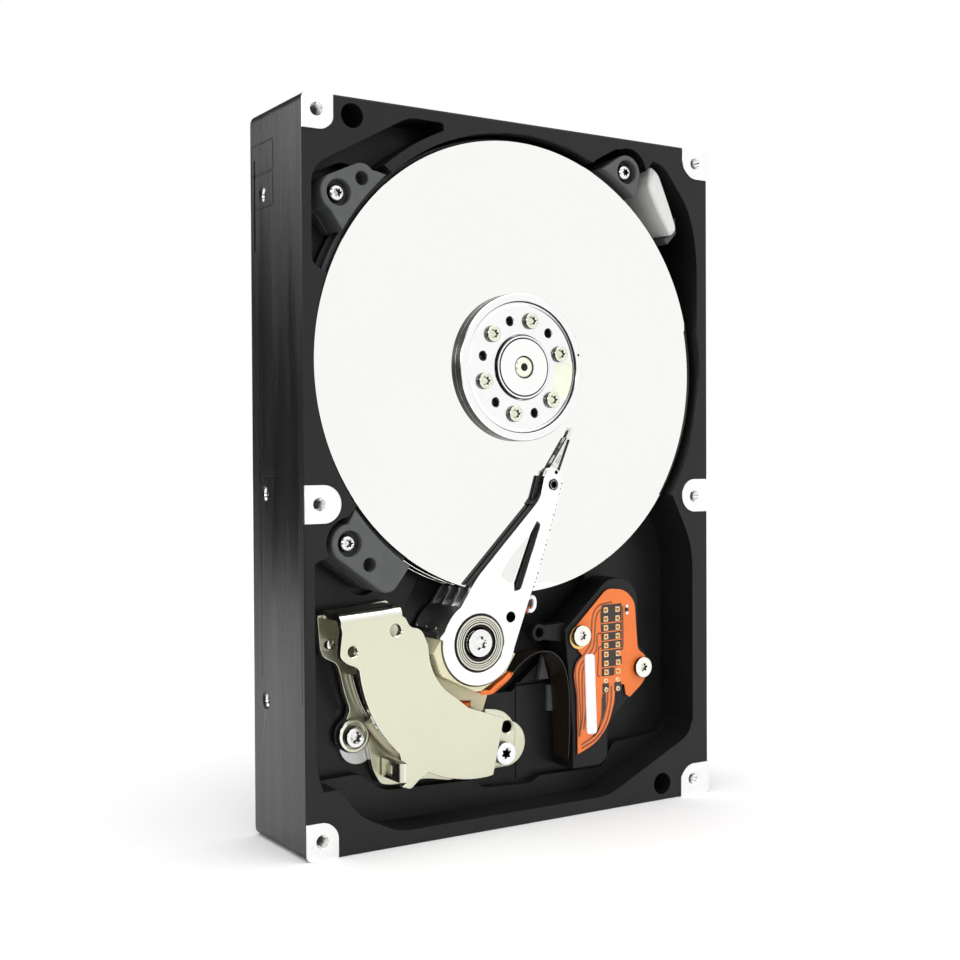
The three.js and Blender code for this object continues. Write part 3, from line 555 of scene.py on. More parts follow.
# Painted shade and reflection: a dark metal on the rims and sides of bright parts, standing for the shade on
# them and the dark surround they mirror.
painted_shade_edge = new_finish(
    "painted_shade_edge", (0.045, 0.045, 0.042), 0.3, 1.0, mottle=(0.8, 0.3), bumps=[(0.2, 0.003)],
)
side_paint = new_finish(
    "side_paint", (0.006, 0.0062, 0.006), 0.27, mottle=(5, 0.3, ALONG_Z), uneven=(4, 0.3, ALONG_Z),
    bumps=[(0.35, 0.008), (0.9, 0.012, ALONG_Z)], Specular_IOR_Level=0.5,
)
rubber = new_finish(
    "rubber", (0.02, 0.02, 0.02), 0.85, mottle=(1, 0.2), bumps=[(0.2, 0.02)],
)
board_mask = new_finish(
    "board_mask", (0.012, 0.075, 0.032), 0.3, mottle=(1.5, 0.25), bumps=[(0.9, 0.01)], Coat_Weight=0.4,
)
epoxy = new_finish(
    "epoxy", (0.018, 0.018, 0.02), 0.55, mottle=(1, 0.25), bumps=[(0.15, 0.012)],
)
solder = new_finish(
    "solder", (0.75, 0.75, 0.74), 0.25, 1.0, mottle=(0.5, 0.1), bumps=[(0.3, 0.01)],
)
ceramic = new_finish(
    "ceramic", (0.35, 0.24, 0.15), 0.45, mottle=(0.6, 0.15), bumps=[(0.1, 0.004)],
)
chrome = new_finish(
    "chrome", (0.8, 0.79, 0.72), 0.14, 1.0, mottle=(3, 0.08), uneven=(2, 0.3), bumps=[(0.4, 0.004)],
)
turned_metal = new_finish(
    "turned_metal", (0.62, 0.62, 0.62), 0.4, 1.0, mottle=(2, 0.08), bumps=[(0.2, 0.004)],
)
white_steel = new_finish(
    "white_steel", (0.92, 0.93, 0.95), 0.3, 1.0, mottle=(1.5, 0.04), bumps=[(0.3, 0.003)],
)
pin_solder = new_finish(
    "pin_solder", (0.8, 0.58, 0.36), 0.25, 1.0, mottle=(0.5, 0.25), uneven=(0.4, 0.4), bumps=[(0.25, 0.03)],
)
cream_steel = new_finish(
    "cream_steel", (0.88, 0.88, 0.8), 0.3, 1.0, mottle=(1.5, 0.05), bumps=[(0.3, 0.003)],
)
track_mask = new_finish(
    "track_mask", (0.02, 0.12, 0.05), 0.3, mottle=(1.5, 0.2), bumps=[(0.9, 0.01)], Coat_Weight=0.4,
)
connector_plastic = new_finish(
    "connector_plastic", (0.01, 0.01, 0.011), 0.4, mottle=(2, 0.2), bumps=[(0.2, 0.006)],
)


# ---------------------------------------------------------------- base casting

LAND = 0.4
DISK_FLOOR = 14.2
MOTOR_FLOOR = 11.7
LEDGE = 9.2
CAVITY_RADIUS = 48.6
ABOVE = -1
EARS = [
    {"lobes": [((-42.7, 128.5), 3.9, 240, 125), ((-37.7, 131.7), 3, 120, 40)], "span": (131, 149),
     "hole": (-37.7, 131.7)},
    {"lobes": [((28, 139.9), 3.7, 125, -30)], "span": (52, 64), "hole": None},
    {"lobes": [((-32.6, 53.6), 3, 310, 228), ((-40.8, 60.6), 3.9, 222, 95)], "span": (216, 236),
     "hole": (-36.5, 56.3)},
]
PAD_HOLES = [(-47.8, 143.6), (47, 143.6), (-47.7, 68.4), (46.6, 68.2), (-47.5, 3.7), (46, 3.7)]
BIG_HOLES = [(-40, 143.4), (37.2, 3.7)]
SIDE_HOLES = [28.5, 70.1, 130.1]
SIDE_HOLE_DEPTH = THICKNESS - 6.35
BOTTOM_HOLE_X = 47.625
BOTTOM_HOLE_ROWS = (41.28, 85.73)
BOTTOM_HOLES = [(side * BOTTOM_HOLE_X, z) for z in BOTTOM_HOLE_ROWS for side in (-1, 1)]
SCREW_RADIUS = 1.5
PAD_HOLE = 1.3
MIDDLE_PAD = (46.7, 68.4)
MIDDLE_PAD_RADIUS = 3.7
BAY_HALF_WIDTH = 46.3
BOARD_BAY = 18.5
BOARD_BAY_END = 80
UPPER_BAY = 24


def ear_outline(ear, grow, inner):
    points = []
    for centre, radius, start, end in ear["lobes"]:
        points += arc(centre, radius + grow, start, end, 9)
    start, end = ear["span"]
    return points + arc(SPINDLE, inner, start - grow, end + grow)


def middle_pad(side):
    x, z = MIDDLE_PAD
    edge, half, start = side * HALF_WIDTH, side * MIDDLE_PAD_RADIUS, side * 90
    return [(edge, z - half), (edge, z + half), *arc((side * x, z), MIDDLE_PAD_RADIUS, start, start + 180, 9)]


PADS = {
    "top_left": rounded([(-50.8, 147, 1.5), (-50.8, 139.9), (-46.2, 139.9, 1.2), (-44.2, 141.5, 1.2),
                         (-44.2, 147)]),
    "top_right": rounded([(50.8, 147, 1.5), (43.3, 147), (43.3, 142.6, 1.5), (45.8, 140.1, 1.5),
                          (50.8, 140.1)]),
    "bottom_left": rounded([(-50.8, 0, 1.5), (-44, 0), (-44, 5.2, 1.5), (-46.2, 7.3, 1.5), (-50.8, 7.3)]),
    "bottom_right": rounded([(50.8, 0, 1.5), (50.8, 7.2), (45, 7.2, 1.5), (42.5, 5, 1.5), (42.5, 0)]),
    "middle_left": middle_pad(-1),
    "middle_right": middle_pad(1),
}


def cavity_cuts():
    lower = rounded([
        (-48.6, 57), (-48.6, 18, 4), (-43.7, 13, 3), (-39, 7.1, 3), (-30.6, 3, 3), (22, 3, 3),
        (45.1, 13.8, 3), (46.3, 18, 2), (46.3, 57, 5), (40.5, 68.5), (30, 72), (-34, 64),
    ])
    above_ledge = rounded([
        (-48.6, 57), (-48.6, 18, 4), (-47, 13.05), (-34.5, 13.4, 2), (-29.4, 9.3, 2), (-7.6, 8.6, 1.5),
        (-5.2, 6.6, 2), (7.1, 6.0, 1), (10, 7.4, 1), (26.9, 7.1, 1.5), (30, 12.3, 1.5), (43, 13.2),
        (46.3, 17), (46.3, 57, 5), (40.5, 68.5), (30, 72), (-34, 64),
    ])
    filter_pocket = rounded([
        (26, 132), (33.3, 140.8), (35, 143), (38.4, 142, 2), (45.5, 133.1, 4), (47.8, 124, 6), (47.8, 106),
        (30, 110),
    ])
    arm_sweep = [(-24, 44), (-22, 36), (-13, 26.5), (4, 26), (24, 42), (24, 66), (-14, 62)]
    pocket = rounded([
        (-19.3, 142.6, 1), (-19.3, 144.6, 1), (-27.3, 144.7, 2), (-47.2, 133.8, 2.5), (-48.8, 131, 1.5),
        (-48.8, 114.4, 1.5), (-45.3, 112.6), (-40, 112.6), (-33, 124),
    ])
    land_strip = [*arc(SPINDLE, CAVITY_RADIUS, 112, 130), *arc(SPINDLE, 50.7, 130.5, 112)]
    cuts = [
        plate(circle(SPINDLE, CAVITY_RADIUS, 240), ABOVE, DISK_FLOOR, edge=0),
        plate(lower, ABOVE, LEDGE, edge=0),
        plate(above_ledge, ABOVE, MOTOR_FLOOR, edge=0),
        plate(arm_sweep, 5, DISK_FLOOR, edge=0),
        plate(filter_pocket, ABOVE, DISK_FLOOR, edge=0),
        combined(plate(pocket, ABOVE, 9, edge=0), [plate(land_strip, ABOVE - 1, 20, edge=0)]),
        plate(rounded([(18, 138), (18.5, 141.2, 1), (26, 145.2, 2), (30, 138)]), ABOVE, DISK_FLOOR, edge=0),
    ]
    cuts += [plate(ear_outline(ear, 1.4, 46), ABOVE, DISK_FLOOR, edge=0) for ear in EARS]
    cuts.append(plate(rectangle(-4, 15.6, 27.1, 27.8, 0.1), MOTOR_FLOOR - 0.5, MOTOR_FLOOR + 0.9, edge=0))
    cuts.append(plate(rectangle(4.9, 5.15, 6.8, 27.2), MOTOR_FLOOR - 0.5, MOTOR_FLOOR + 0.4, edge=0))
    return cuts


def tapped(centre, radius, front, back, pitch=0.79):
    """A threaded hole's cutter, with a chamfer at the front."""
    chamfer, thread = 0.25, 0.22
    profile = [(0, front), (radius + chamfer, front), (radius, front + chamfer)]
    depth = front + 0.3
    while depth + pitch < back:
        profile += [(radius + thread, depth + pitch / 2), (radius, depth + pitch)]
        depth += pitch
    profile += [(radius, back), (0, back + 0.6)]
    return turned(profile, centre, 32)


def back_cuts():
    """Two bays in the back with a boss left round each bottom hole, and the holes bored from behind."""
    edge = BAY_HALF_WIDTH
    bays = [(rectangle(-edge, edge, -5, BOARD_BAY_END), BOARD_BAY),
            (rectangle(-edge, edge, 84, 142, 3), UPPER_BAY)]
    cuts = []
    for bay, front in bays:
        bosses = [plate(circle(boss, 4, 36), 10, 40, edge=0) for boss in BOTTOM_HOLES
                  if (boss[1] < BOARD_BAY_END) == (front == BOARD_BAY)]
        cuts.append(combined(plate(bay, front, 30, edge=0), bosses))
    cuts.append(plate([(-edge, 79), (edge, 79), (edge, 85), (-edge, 85)], UPPER_BAY, 30, edge=0))
    for boss in BOTTOM_HOLES:
        thread = tapped(boss, SCREW_RADIUS, 0, 5)
        cuts.append(placed(thread, lambda x, depth, z: (x, THICKNESS + 0.01 - depth, z)))
    cuts += [plate(circle(middle(f"board_screw_{i}"), 1.3, 24), 15.5, 30, edge=0) for i in range(1, 5)]
    cuts += [plate(circle(SPINDLE, 17, 96), 21.5, 30, edge=0),
             plate(circle(SPINDLE, 13.3, 96), 10, 30, edge=0)]
    return cuts


def side_marks():
    """Shallow marks in the left side: outlines of three rectangles, a slit and three fine lines."""
    def groove(path, width, deep):
        """A groove along (depth, z) points, cut into the left side."""
        line = plate(band(path, width), -1, deep, edge=0)
        return placed(line, lambda a, b, c: (b - HALF_WIDTH, a, c))

    marks = []
    for (front, back), (low, high) in (((13.3, 24.4), (134.2, 140.5)), ((13.4, 24.4), (127.2, 134.2)),
                                       ((13.4, 24.4), (73.6, 74.6))):
        inner = rectangle(front + 0.3, back - 0.3, low + 0.3, high - 0.3, 0.3)
        outline = plate(rectangle(front, back, low, high, 0.4), -1, 0.08, [inner], edge=0)
        marks.append(placed(outline, lambda a, b, c: (b - HALF_WIDTH, a, c)))
    marks.append(groove([(22.6, 119), (22.6, 137.5)], 0.6, 0.7))
    for depth, low, high in ((1.6, 30, 66), (20.5, 33, 67), (20.8, 76, 117)):
        marks.append(groove([(depth, low), (depth, high)], 0.16, 0.06))
    return marks


def side_cuts():
    cuts = side_marks()
    for side in (-1, 1):
        for z in SIDE_HOLES:
            hole = tapped((0, 0), SCREW_RADIUS, -0.01, 3.6)
            cuts.append(placed(hole, lambda a, b, c, side=side, z=z:
                               (side * (HALF_WIDTH - b), SIDE_HOLE_DEPTH + a, z + c)))
    return cuts


def base_casting():
    outline = rectangle(-HALF_WIDTH, HALF_WIDTH, 0, LENGTH, 2)
    body = plate(outline, LAND, THICKNESS, edge=0.35, back_edge=0.6)
    holes = [plate(circle(at, PAD_HOLE, 32), ABOVE, 7, edge=0) for at in PAD_HOLES]
    holes += [plate(circle(at, 2.4, 48), ABOVE, 8, edge=0) for at in BIG_HOLES]
    holes.append(plate(circle(PIVOT, 2.6, 32), 10, 17, edge=0))
    shape = combined(body, [*cavity_cuts(), *holes, *side_cuts(), *back_cuts()], bevel=0.18)
    item = piece("casting", "base", cast_paint, "cast_paint", shape, nodes=["base_casting"])
    refinished(item, side_paint, lambda normal, at: abs(at[0]) > HALF_WIDTH - 0.05)
    for z in SIDE_HOLES:
        refinished(item, bright_steel, lambda normal, at, z=z: abs(at[0]) > HALF_WIDTH - 3.7
                   and abs(at[0]) < HALF_WIDTH - 0.15
                   and math.dist((at[1], at[2]), (SIDE_HOLE_DEPTH, z)) < 2.1)


def machined_pads():
    for name, outline in PADS.items():
        holes = [circle(at, PAD_HOLE, 40) for at in PAD_HOLES if inside(at, outline)]
        shape = plate(outline, 0, LAND + 0.05, holes, edge=0.1)
        piece(f"pad_{name}", "base", pad_metal, "bare_aluminium", shape)


def inside(point, outline):
    crossings = 0
    for (x0, z0), (x1, z1) in zip(outline, outline[1:] + outline[:1]):
        if (z0 > point[1]) != (z1 > point[1]):
            crossings += point[0] < x0 + (point[1] - z0) * (x1 - x0) / (z1 - z0)
    return crossings % 2 == 1


def thread_sleeves():
    """Bright cut threads seen in the pads' holes."""
    crest, root, pitch = 0.95, 1.15, 0.5
    for i, at in enumerate(PAD_HOLES):
        depth = 0.7
        profile = [(PAD_HOLE, 0.15), (crest, depth)]
        while depth < 6:
            profile += [(root, depth + pitch / 2), (crest, depth + pitch)]
            depth += pitch
        profile += [(crest, depth + 0.1), (PAD_HOLE, depth + 0.1)]
        piece(f"pad_thread_{i + 1}", "base", bright_steel, "bare_aluminium", turned(profile, at, 40))


base_casting()
machined_pads()
thread_sleeves()


# ---------------------------------------------------------------- screws

def torx_screw(radius, head, recess, tip, shank, dome=0.2, bowl=0.0, turn=0.0):
    """A screw with its head's top at depth 0: a rounded head with a six-lobed recess."""
    profile = rounded([
        (0, 0), (radius * 0.55, 0.001), (radius, bowl, dome), (radius, head, 0.08), (shank, head),
        (shank, tip), (0, tip),
    ], 5)
    deep = head * 0.75
    drill = turned([(0, -1), (recess + 1.1, -1), (recess * 0.9, 0.12), (0, 0.12)], (0, 0), 48)
    socket = plate(star((0, 0), recess, turn), -1, deep, edge=0)
    tip_cone = turned([(0, deep - 0.02), (recess * 0.6, deep - 0.02), (0, deep + 0.2)], (0, 0), 24)
    return combined(turned(profile, (0, 0), 64), [drill, socket, tip_cone])


def set_screw(name, node, body, shape, recess, finish=None):
    """A copy of a screw made at the origin, put where the frame's screw stands, its recess walls and the
    head's sides dark as painted shade.
    """
    x, z = middle(node)
    top = depths(node)[0]
    put = placed(shape, lambda a, b, c: (x + a, top + b, z + c))
    item = piece(name, body, finish or screw_steel, "steel", put, nodes=[node])
    in_recess = within((x, z), recess * 1.02, top + 0.2)
    # Painted shade: the recess walls and the head's sides are given dark metal.
    refinished(item, painted_shade_metal, lambda normal, at: normal.y > -0.9 and in_recess(normal, at))
    refinished(item, painted_shade_edge, lambda normal, at: abs(normal.y) < 0.5
               and math.dist((at[0], at[2]), (x, z)) > recess)


def cutter(centre, radius, front, back, chamfer=0.1, steps=40):
    """A round hole's cutter, with a chamfer where it meets the front surface."""
    profile = [(0, front - 0.5), (radius + chamfer + 0.5, front - 0.5), (radius, front + chamfer),
               (radius, back), (0, back)]
    return turned(profile, centre, steps)


# ---------------------------------------------------------------- disks and spindle

PLATTER_RADIUS = 47.5
BORE = 12.6
CLAMP_SCREWS = [f"clamp_screw_{i}" for i in range(1, 7)]
CLAMP_HOLES = [polar(SPINDLE, 10, 48 + 60 * i) for i in range(5)]


def ring_shape(inner, outer, front, back, edge=0.15, steps=160):
    corners = [(inner, front, edge), (outer, front, edge), (outer, back, edge), (inner, back, edge)]
    return turned(rounded(corners, 3), SPINDLE, steps)


def disks():
    for i in (1, 2, 3):
        front, back = depths(f"platter_{i}")
        shape = ring_shape(BORE, PLATTER_RADIUS, front, back, 0.22, 240)
        item = piece(f"disk_{i}", "spindle", mirror, "platter_mirror", shape, nodes=[f"platter_{i}"])
        # Painted shade: the disks' rims and sides are given dark metal.
        refinished(item, painted_shade_edge, lambda normal, at: abs(normal.y) < 0.7)
    for i in (1, 2):
        node = f"spacer_ring_{i}"
        shape = ring_shape(BORE, reach(node), *depths(node))
        piece(f"spacer_{i}", "spindle", hub_metal, "bare_aluminium", shape, nodes=[node])


def clamp():
    web = 1.0
    profile = rounded([
        (6.9, web, 0.1), (12.9, web, 0.1), (13.2, web + 0.2), (13.6, web + 0.2), (13.9, 0.7, 0.1),
        (15.25, 0.7, 0.15), (15.5, 0.95, 0.15), (15.5, 2.5, 0.1), (13.4, 2.5), (13.1, 2.2), (6.9, 2.2, 0.1),
    ], 4)
    tools = [cutter(middle(node), 1.2, web, 5, 0.1) for node in CLAMP_SCREWS]
    for at in CLAMP_HOLES:
        steps_down = [(0, 0.5), (1.4, 0.5), (1.05, web + 0.05), (0.95, web + 0.25), (0.8, web + 0.3),
                      (0.72, web + 0.6), (0.8, web + 0.8), (0.72, web + 1), (0.72, 5), (0, 5)]
        tools.append(turned(steps_down, at, 32))
    shape = combined(turned(profile, SPINDLE, 200), tools)
    item = piece("clamp", "spindle", clamp_metal, "bare_aluminium", shape, nodes=["disk_clamp"])
    # Painted shade: the small holes' walls and the clamp's outer side are given dark metal.
    for at in CLAMP_HOLES:
        refinished(item, painted_shade_metal, within(at, 0.98, web + 0.22))
    refinished(item, painted_shade_edge, lambda normal, at: abs(normal.y) < 0.6
               and math.dist((at[0], at[2]), SPINDLE) > 12.8)
    mark = [*arc(SPINDLE, 13.0, -31, 7), *arc(SPINDLE, 8.4, 7, -31)]
    piece("clamp_mark", "spindle", mark_film, "nickel_plate", plate(mark, web - 0.02, web + 0.05, edge=0.01))
    # A small dark dot on the clamp's rim, in the painted-shade metal.
    dot = plate(circle(polar(SPINDLE, 14.7, 12), 0.28, 20), 0.68, 0.9, edge=0.02)
    piece("clamp_dot", "spindle", painted_shade_metal, "bare_aluminium", dot)


def spindle():
    front = depths("spindle_hub")[0]
    flange = depths("platter_3")[1] + 0.1
    back = depths("spindle_hub")[1]
    profile = rounded([
        (2.3, front + 0.15), (2.4, front), (5.9, front, 0.03), (6.05, front + 0.3), (6.2, front + 0.08, 0.03),
        (6.6, front + 0.08, 0.1), (6.7, front + 0.5), (6.5, 2.7), (12.3, 2.7, 0.1), (12.3, flange),
        (16, flange, 0.2), (16, 13.2, 0.2), (12.6, 13.2), (12.6, back), (11.6, back), (11.6, 6.2), (2.3, 6.2),
    ], 4)
    holes = [plate(circle(middle(node), 1.2, 24), 0, 5.4, edge=0) for node in CLAMP_SCREWS]
    shape = combined(turned(profile, SPINDLE, 128), holes)
    item = piece("hub", "spindle", hub_metal, "bare_aluminium", shape, nodes=["spindle_hub"])
    # Painted shade: the hub's sides and gaps near the front are given dark metal.
    refinished(item, painted_shade_edge, lambda normal, at: normal.y > -0.9 and at[1] < 3)
    top, bottom = depths("spindle_shaft")
    dimple = rounded([(0, top + 1.1), (0.85, top + 0.15), (0.95, top + 0.1, 0.03), (1.75, top, 0.1),
                      (2.15, top + 0.4, 0.1), (2.15, bottom, 0.2), (0, bottom)], 4)
    item = piece("shaft", "spindle", mark_film, "steel", turned(dimple, SPINDLE, 64), nodes=["spindle_shaft"])
    # Painted shade in the shaft's dimple.
    refinished(item, painted_shade_metal, within(SPINDLE, 0.9, top + 0.2))
    screw = torx_screw(1.7, 0.9, 1.0, 5, 0.9, dome=0.3)
    for node in CLAMP_SCREWS:
        set_screw(node.replace("clamp_screw", "clamp_bolt"), node, "spindle", screw, 1.0)
    rotor = ring_shape(10, reach("rotor_magnet"), *depths("rotor_magnet"), 0.3, 96)
    piece("rotor_ring", "spindle", dark_nickel, "magnet_nickel", rotor, nodes=["rotor_magnet"])


def motor():
    front, back = depths("motor_stator")
    core = plate(circle(SPINDLE, 5.6, 64), front, back, [circle(SPINDLE, 4, 48)], edge=0.2)
    teeth = []
    for i in range(9):
        heading = 40 * i
        bar = slot(polar(SPINDLE, 5.3, heading), polar(SPINDLE, 8.2, heading), 0.9)
        teeth.append(plate(bar, front + 0.6, back - 0.6, edge=0.2))
        for k in range(6):
            at = polar(SPINDLE, 5.9 + 0.42 * k, heading)
            turn = math.radians(heading)
            half, low, high = 1.25 - 0.03 * k, front + 0.25, back - 0.25
            corners = [(-half, low), (half, low), (half, high), (-half, high)]
            loop = [(at[0] - math.sin(turn) * a, depth, at[1] + math.cos(turn) * a)
                    for a, depth in rounded([(*corner, 0.4) for corner in corners], 3)]
            teeth.append(tube(loop, 0.21, 6, closed=True))
    piece("stator_windings", "base", copper_wire, "copper", core, *teeth, nodes=["motor_stator"])
    base = rounded([
        (2.5, 7.4), (3.6, 7.4, 0.2), (3.6, 17.9, 0.3), (13, 17.9), (13, 21.8, 0.1), (16.6, 21.8, 0.2),
        (16.6, 22.9, 0.3), (12.2, 22.9, 0.1), (11.9, 22.6), (7.3, 22.6), (7, 22.9, 0.1), (5.6, 22.9, 0.2),
        (5, 22.4, 0.1), (0, 22.4), (0, 18.2), (2.5, 18.2),
    ], 4)
    piece("motor_flange", "base", hub_metal, "bare_aluminium", turned(base, SPINDLE, 128),
          nodes=["motor_base"])


disks()
clamp()
spindle()
motor()


# ---------------------------------------------------------------- separators and filter

EAR_INNER = 48.9
LINK_INNER = 46


def separator(node, gap_depth, ear_top, ear_back, top_one):
    front, back = gap_depth - 0.5, gap_depth + 0.5
    sheet = [*arc(SPINDLE, 48.1, 57, 221), *arc(SPINDLE, 22, 221, 57)]
    parts = []
    for ear in EARS:
        parts.append(plate(ear_outline(ear, 0, EAR_INNER), ear_top, ear_back, edge=0.45, back_edge=0.2,
                           steps=4))
        parts.append(plate(ear_outline(ear, -0.05, LINK_INNER), front + 0.01, back - 0.01, edge=0))
    tools = []
    for i, ear in enumerate(EARS):
        at = middle(f"separator_screw_{i + 1}")
        tools.append(plate(circle(at, 1.6, 32), -1, 20, edge=0))
        if top_one:
            tools.append(cutter(at, 2.6, ear_top, 3.2, 0.15, 64))
            if ear["hole"]:
                tools.append(cutter(ear["hole"], 1.4, ear_top, 5, 0.12, 48))
    whole = combined(plate(sheet, front, back, edge=0.15), parts, "UNION")
    piece(node.replace("separator", "separator_plate"), "base", ear_plastic, "moulded_plastic",
          combined(whole, tools), nodes=[node])


def separators():
    pitch = (depths("platter_3")[0] - depths("platter_1")[0]) / 2
    first_gap = (depths("platter_1")[1] + depths("platter_2")[0]) / 2
    top, bottom = depths("separator_upper")
    separator("separator_upper", first_gap, top, bottom, True)
    top, bottom = depths("separator_lower")
    separator("separator_lower", first_gap + pitch, top, bottom, False)
    screw = torx_screw(1.75, 1.7, 0.85, 12.6, 1.2, dome=0.5, bowl=0.55)
    for i in (1, 2, 3):
        set_screw(f"separator_bolt_{i}", f"separator_screw_{i}", "base", screw, 0.85, bright_steel)


def filter_pad():
    outline = rounded([
        (35.2, 142.2, 0.9), (37.6, 140.8, 1.2), (41.2, 133, 2.5), (42.9, 128.6, 1.2), (41.2, 126.9, 1),
        (37.6, 131.8, 2.5), (34.6, 137.4, 1.2),
    ])
    front, back = depths("recirculation_filter")
    piece("filter_pad", "base", felt, "white_fabric", plate(outline, front, back, edge=0.75, steps=6),
          nodes=["recirculation_filter"])
    holder = [(40.4, 126.3), (41.4, 125.4), (43.9, 128.0), (43.6, 131.4), (43.1, 131.4), (43.2, 128.4)]
    piece("filter_holder", "base", ear_plastic, "moulded_plastic", plate(holder, 3, 14, edge=0.12))


separators()
filter_pad()


# ---------------------------------------------------------------- head actuator

HEAD_ANGLE = 61.05
HEAD_REACH = 49.4
SWAGE = (7.8, 71.4)
SWAGE_HOLE = 1.25
COIL_ANGLE = 241
HUB_RADIUS = 8.8
SIDE_HOLE = (-3.2, 43.85)
ARM = 1
ARM_CLEARANCE = 0.8
ARM_FRONTS = [depths("head_arm_block")[0]] + [depths(f"platter_{i}")[1] + ARM_CLEARANCE for i in (1, 2, 3)]


def arm_block():
    top, bottom = depths("head_arm_block")
    tip = [(-11.8, 52.2, 2), (4.4, 68.4, 2), (5.6, 73.4, 1), (6.6, 75.2, 1), (9.6, 74.4, 1), (10.2, 72.2, 1),
           (6.4, 59.6), (0.6, 45.1), (-2.6, 36.8), (-10, 36)]
    top_outline = rounded([(-20.7, 40.5, 0.5), (-16.8, 44.6, 1), *tip])
    outline = rounded([(-19.7, 42, 1), (-16.8, 44.6, 1), *tip])
    block = [polar(PIVOT, HUB_RADIUS, 60), (0.6, 45.1), (-2.6, 36.8), (-10, 36)]
    slot_window = rounded([
        (3.6, 63.9, 0.5), (4.5, 62.9, 0.5), (-0.7, 49.5, 0.6), (-2.3, 49.1, 0.5), (-2.4, 51, 0.4),
        (1.9, 61.2),
    ])
    window = rounded([(2.7, 63.8, 0.6), (-6, 52.4, 1), (-1.7, 49.6, 1)])
    body = plate(circle(PIVOT, HUB_RADIUS, 96), top, bottom, edge=0.15)
    arms = []
    for i, front in enumerate(ARM_FRONTS):
        shape, gap = (outline, window) if i else (top_outline, slot_window)
        arm = plate(shape, front, front + ARM, [gap], edge=0.1)
        arms.append(combined(arm, [plate(circle(SWAGE, SWAGE_HOLE, 40), -5, 30, edge=0)]))
    whole = combined(body, [plate(block, top + 0.01, bottom, edge=0.1), *arms], "UNION")
    corner = rounded([(-24, 40.6), (-19.5, 42.2), (-18.6, 41), (-20.5, 38)])
    panel = rounded([(1.7, 61, 0.3), (-3.1, 50.7, 0.4), (-5.9, 52.6, 0.8), (-3.2, 56.6, 2)])
    tools = [
        cutter(PIVOT, 6.05, top, 30, 0.12, 96), cutter(SIDE_HOLE, 1.15, top, 6, 0.08, 40),
        plate(corner, ARM_FRONTS[1] - 1, 30, edge=0), plate(panel, top - 1, top + 0.12, edge=0),
        cutter((8.6, 74), 0.42, top, top + 0.8, 0.03, 24),
    ]
    item = piece("arm_block", "actuator", arm_metal, "bare_aluminium", combined(whole, tools),
                 nodes=["head_arm_block"])
    # Painted shade: the walls of the arm's holes are given dark metal.
    for centre, radius in ((SIDE_HOLE, 1.18), ((8.6, 74), 0.45), (SWAGE, 1.27)):
        refinished(item, painted_shade_metal, within(centre, radius, top + 0.1))
    panel_finish = new_finish(
        "blasted_metal", (0.8, 0.8, 0.77), 0.4, 1.0, mottle=(2, 0.04), bumps=[(0.15, 0.006)],
    )
    refinished(item, panel_finish, lambda normal, at: normal.y < -0.9 and top + 0.05 < at[1] < top + 0.2)


def arm_edges():
    """The dark flex that runs along the arm's left edge, a dark strip along the window's wall as painted
    shade, and a row of dark dots along its right edge as painted shade.
    """
    long_run = plate(band([(-13.4, 51.0), (4.0, 68.35)], 0.35), ARM_FRONTS[0] + 0.15, 2.3, edge=0.05)
    end_run = band([(2.6, 67.2), (5.0, 70.0), (5.7, 73.2)], 0.5)
    short_run = plate(end_run, ARM_FRONTS[0] + 0.1, 2.45, edge=0.05)
    fold_outline = rounded([(3.6, 68.4, 0.3), (5.3, 73.3, 0.2), (4.5, 73.4, 0.2), (2.9, 68.3, 0.3)])
    fold = plate(fold_outline, 1.7, 2.4, edge=0.1)
    # Painted shade: a dark strip along the window's wall.
    wall = plate(band([(4.35, 63.0), (-1.0, 49.7)], 0.5), ARM_FRONTS[0] + 0.2, 2.35, edge=0.05)
    piece("arm_flex_and_window_shade", "actuator", bracket_plastic, "brown_flex", long_run, short_run, fold, wall)
    # Painted shade: dark dots along the arm's right edge.
    shade_dots = []
    for i in range(26):
        if i % 7 == 3:
            continue
        share = i / 25
        at = (10.0 - 8.8 * share, 71.6 - 25.4 * share - 0.8 * math.sin(math.pi * share))
        shade_dots.append(plate(circle(at, 0.13 + 0.05 * (i % 3 == 0), 12), ARM_FRONTS[0] - 0.01,
                          ARM_FRONTS[0] + 0.2, edge=0.02, steps=1))
    piece("arm_edge_shade_dots", "actuator", painted_shade_metal, "bare_aluminium", *shade_dots)


def pivot():
    top, bottom = depths("pivot_bearing")
    profile = [(3.2, top + 0.5), (3.3, top + 0.45), (3.7, top + 0.45), (3.8, top + 0.1)]
    for radius in (3.8, 4.3, 4.72):
        profile += [(radius + 0.06, top + 0.05), (radius + 0.34, top + 0.05), (radius + 0.38, top + 0.3),
                    (radius + 0.44, top + 0.3)]
    profile += [(5.2, top + 0.05), (5.62, top), (5.72, top + 0.3), (5.95, top + 0.35), (5.98, bottom),
                (3.2, bottom)]
    item = piece("bearing", "actuator", bearing_metal, "steel", turned(profile, PIVOT, 128),
                 nodes=["pivot_bearing"])
    # Painted shade: the bearing's grooves and inner sides are given dark metal.
    refinished(item, painted_shade_metal, lambda normal, at: normal.y > -0.85 or at[1] > top + 0.2)
    front, back = depths("pivot_shaft")
    shaft = rounded([(0, front), (1.4, front), (2.8, front, 0.2), (2.8, 13.4), (2.2, 13.4), (2.2, back, 0.2),
                     (0, back)], 3)
    bore = plate(circle(PIVOT, 1.4, 32), 0, 8, edge=0)
    piece("pivot_post", "base", bearing_metal, "steel", combined(turned(shaft, PIVOT, 64), [bore]),
          nodes=["pivot_shaft"])
    screw = torx_screw(2.85, 0.8, 1.5, 7.2, 1.1, dome=0.15, turn=12)
    set_screw("pivot_bolt", "pivot_screw", "base", screw, 1.5, bright_steel)


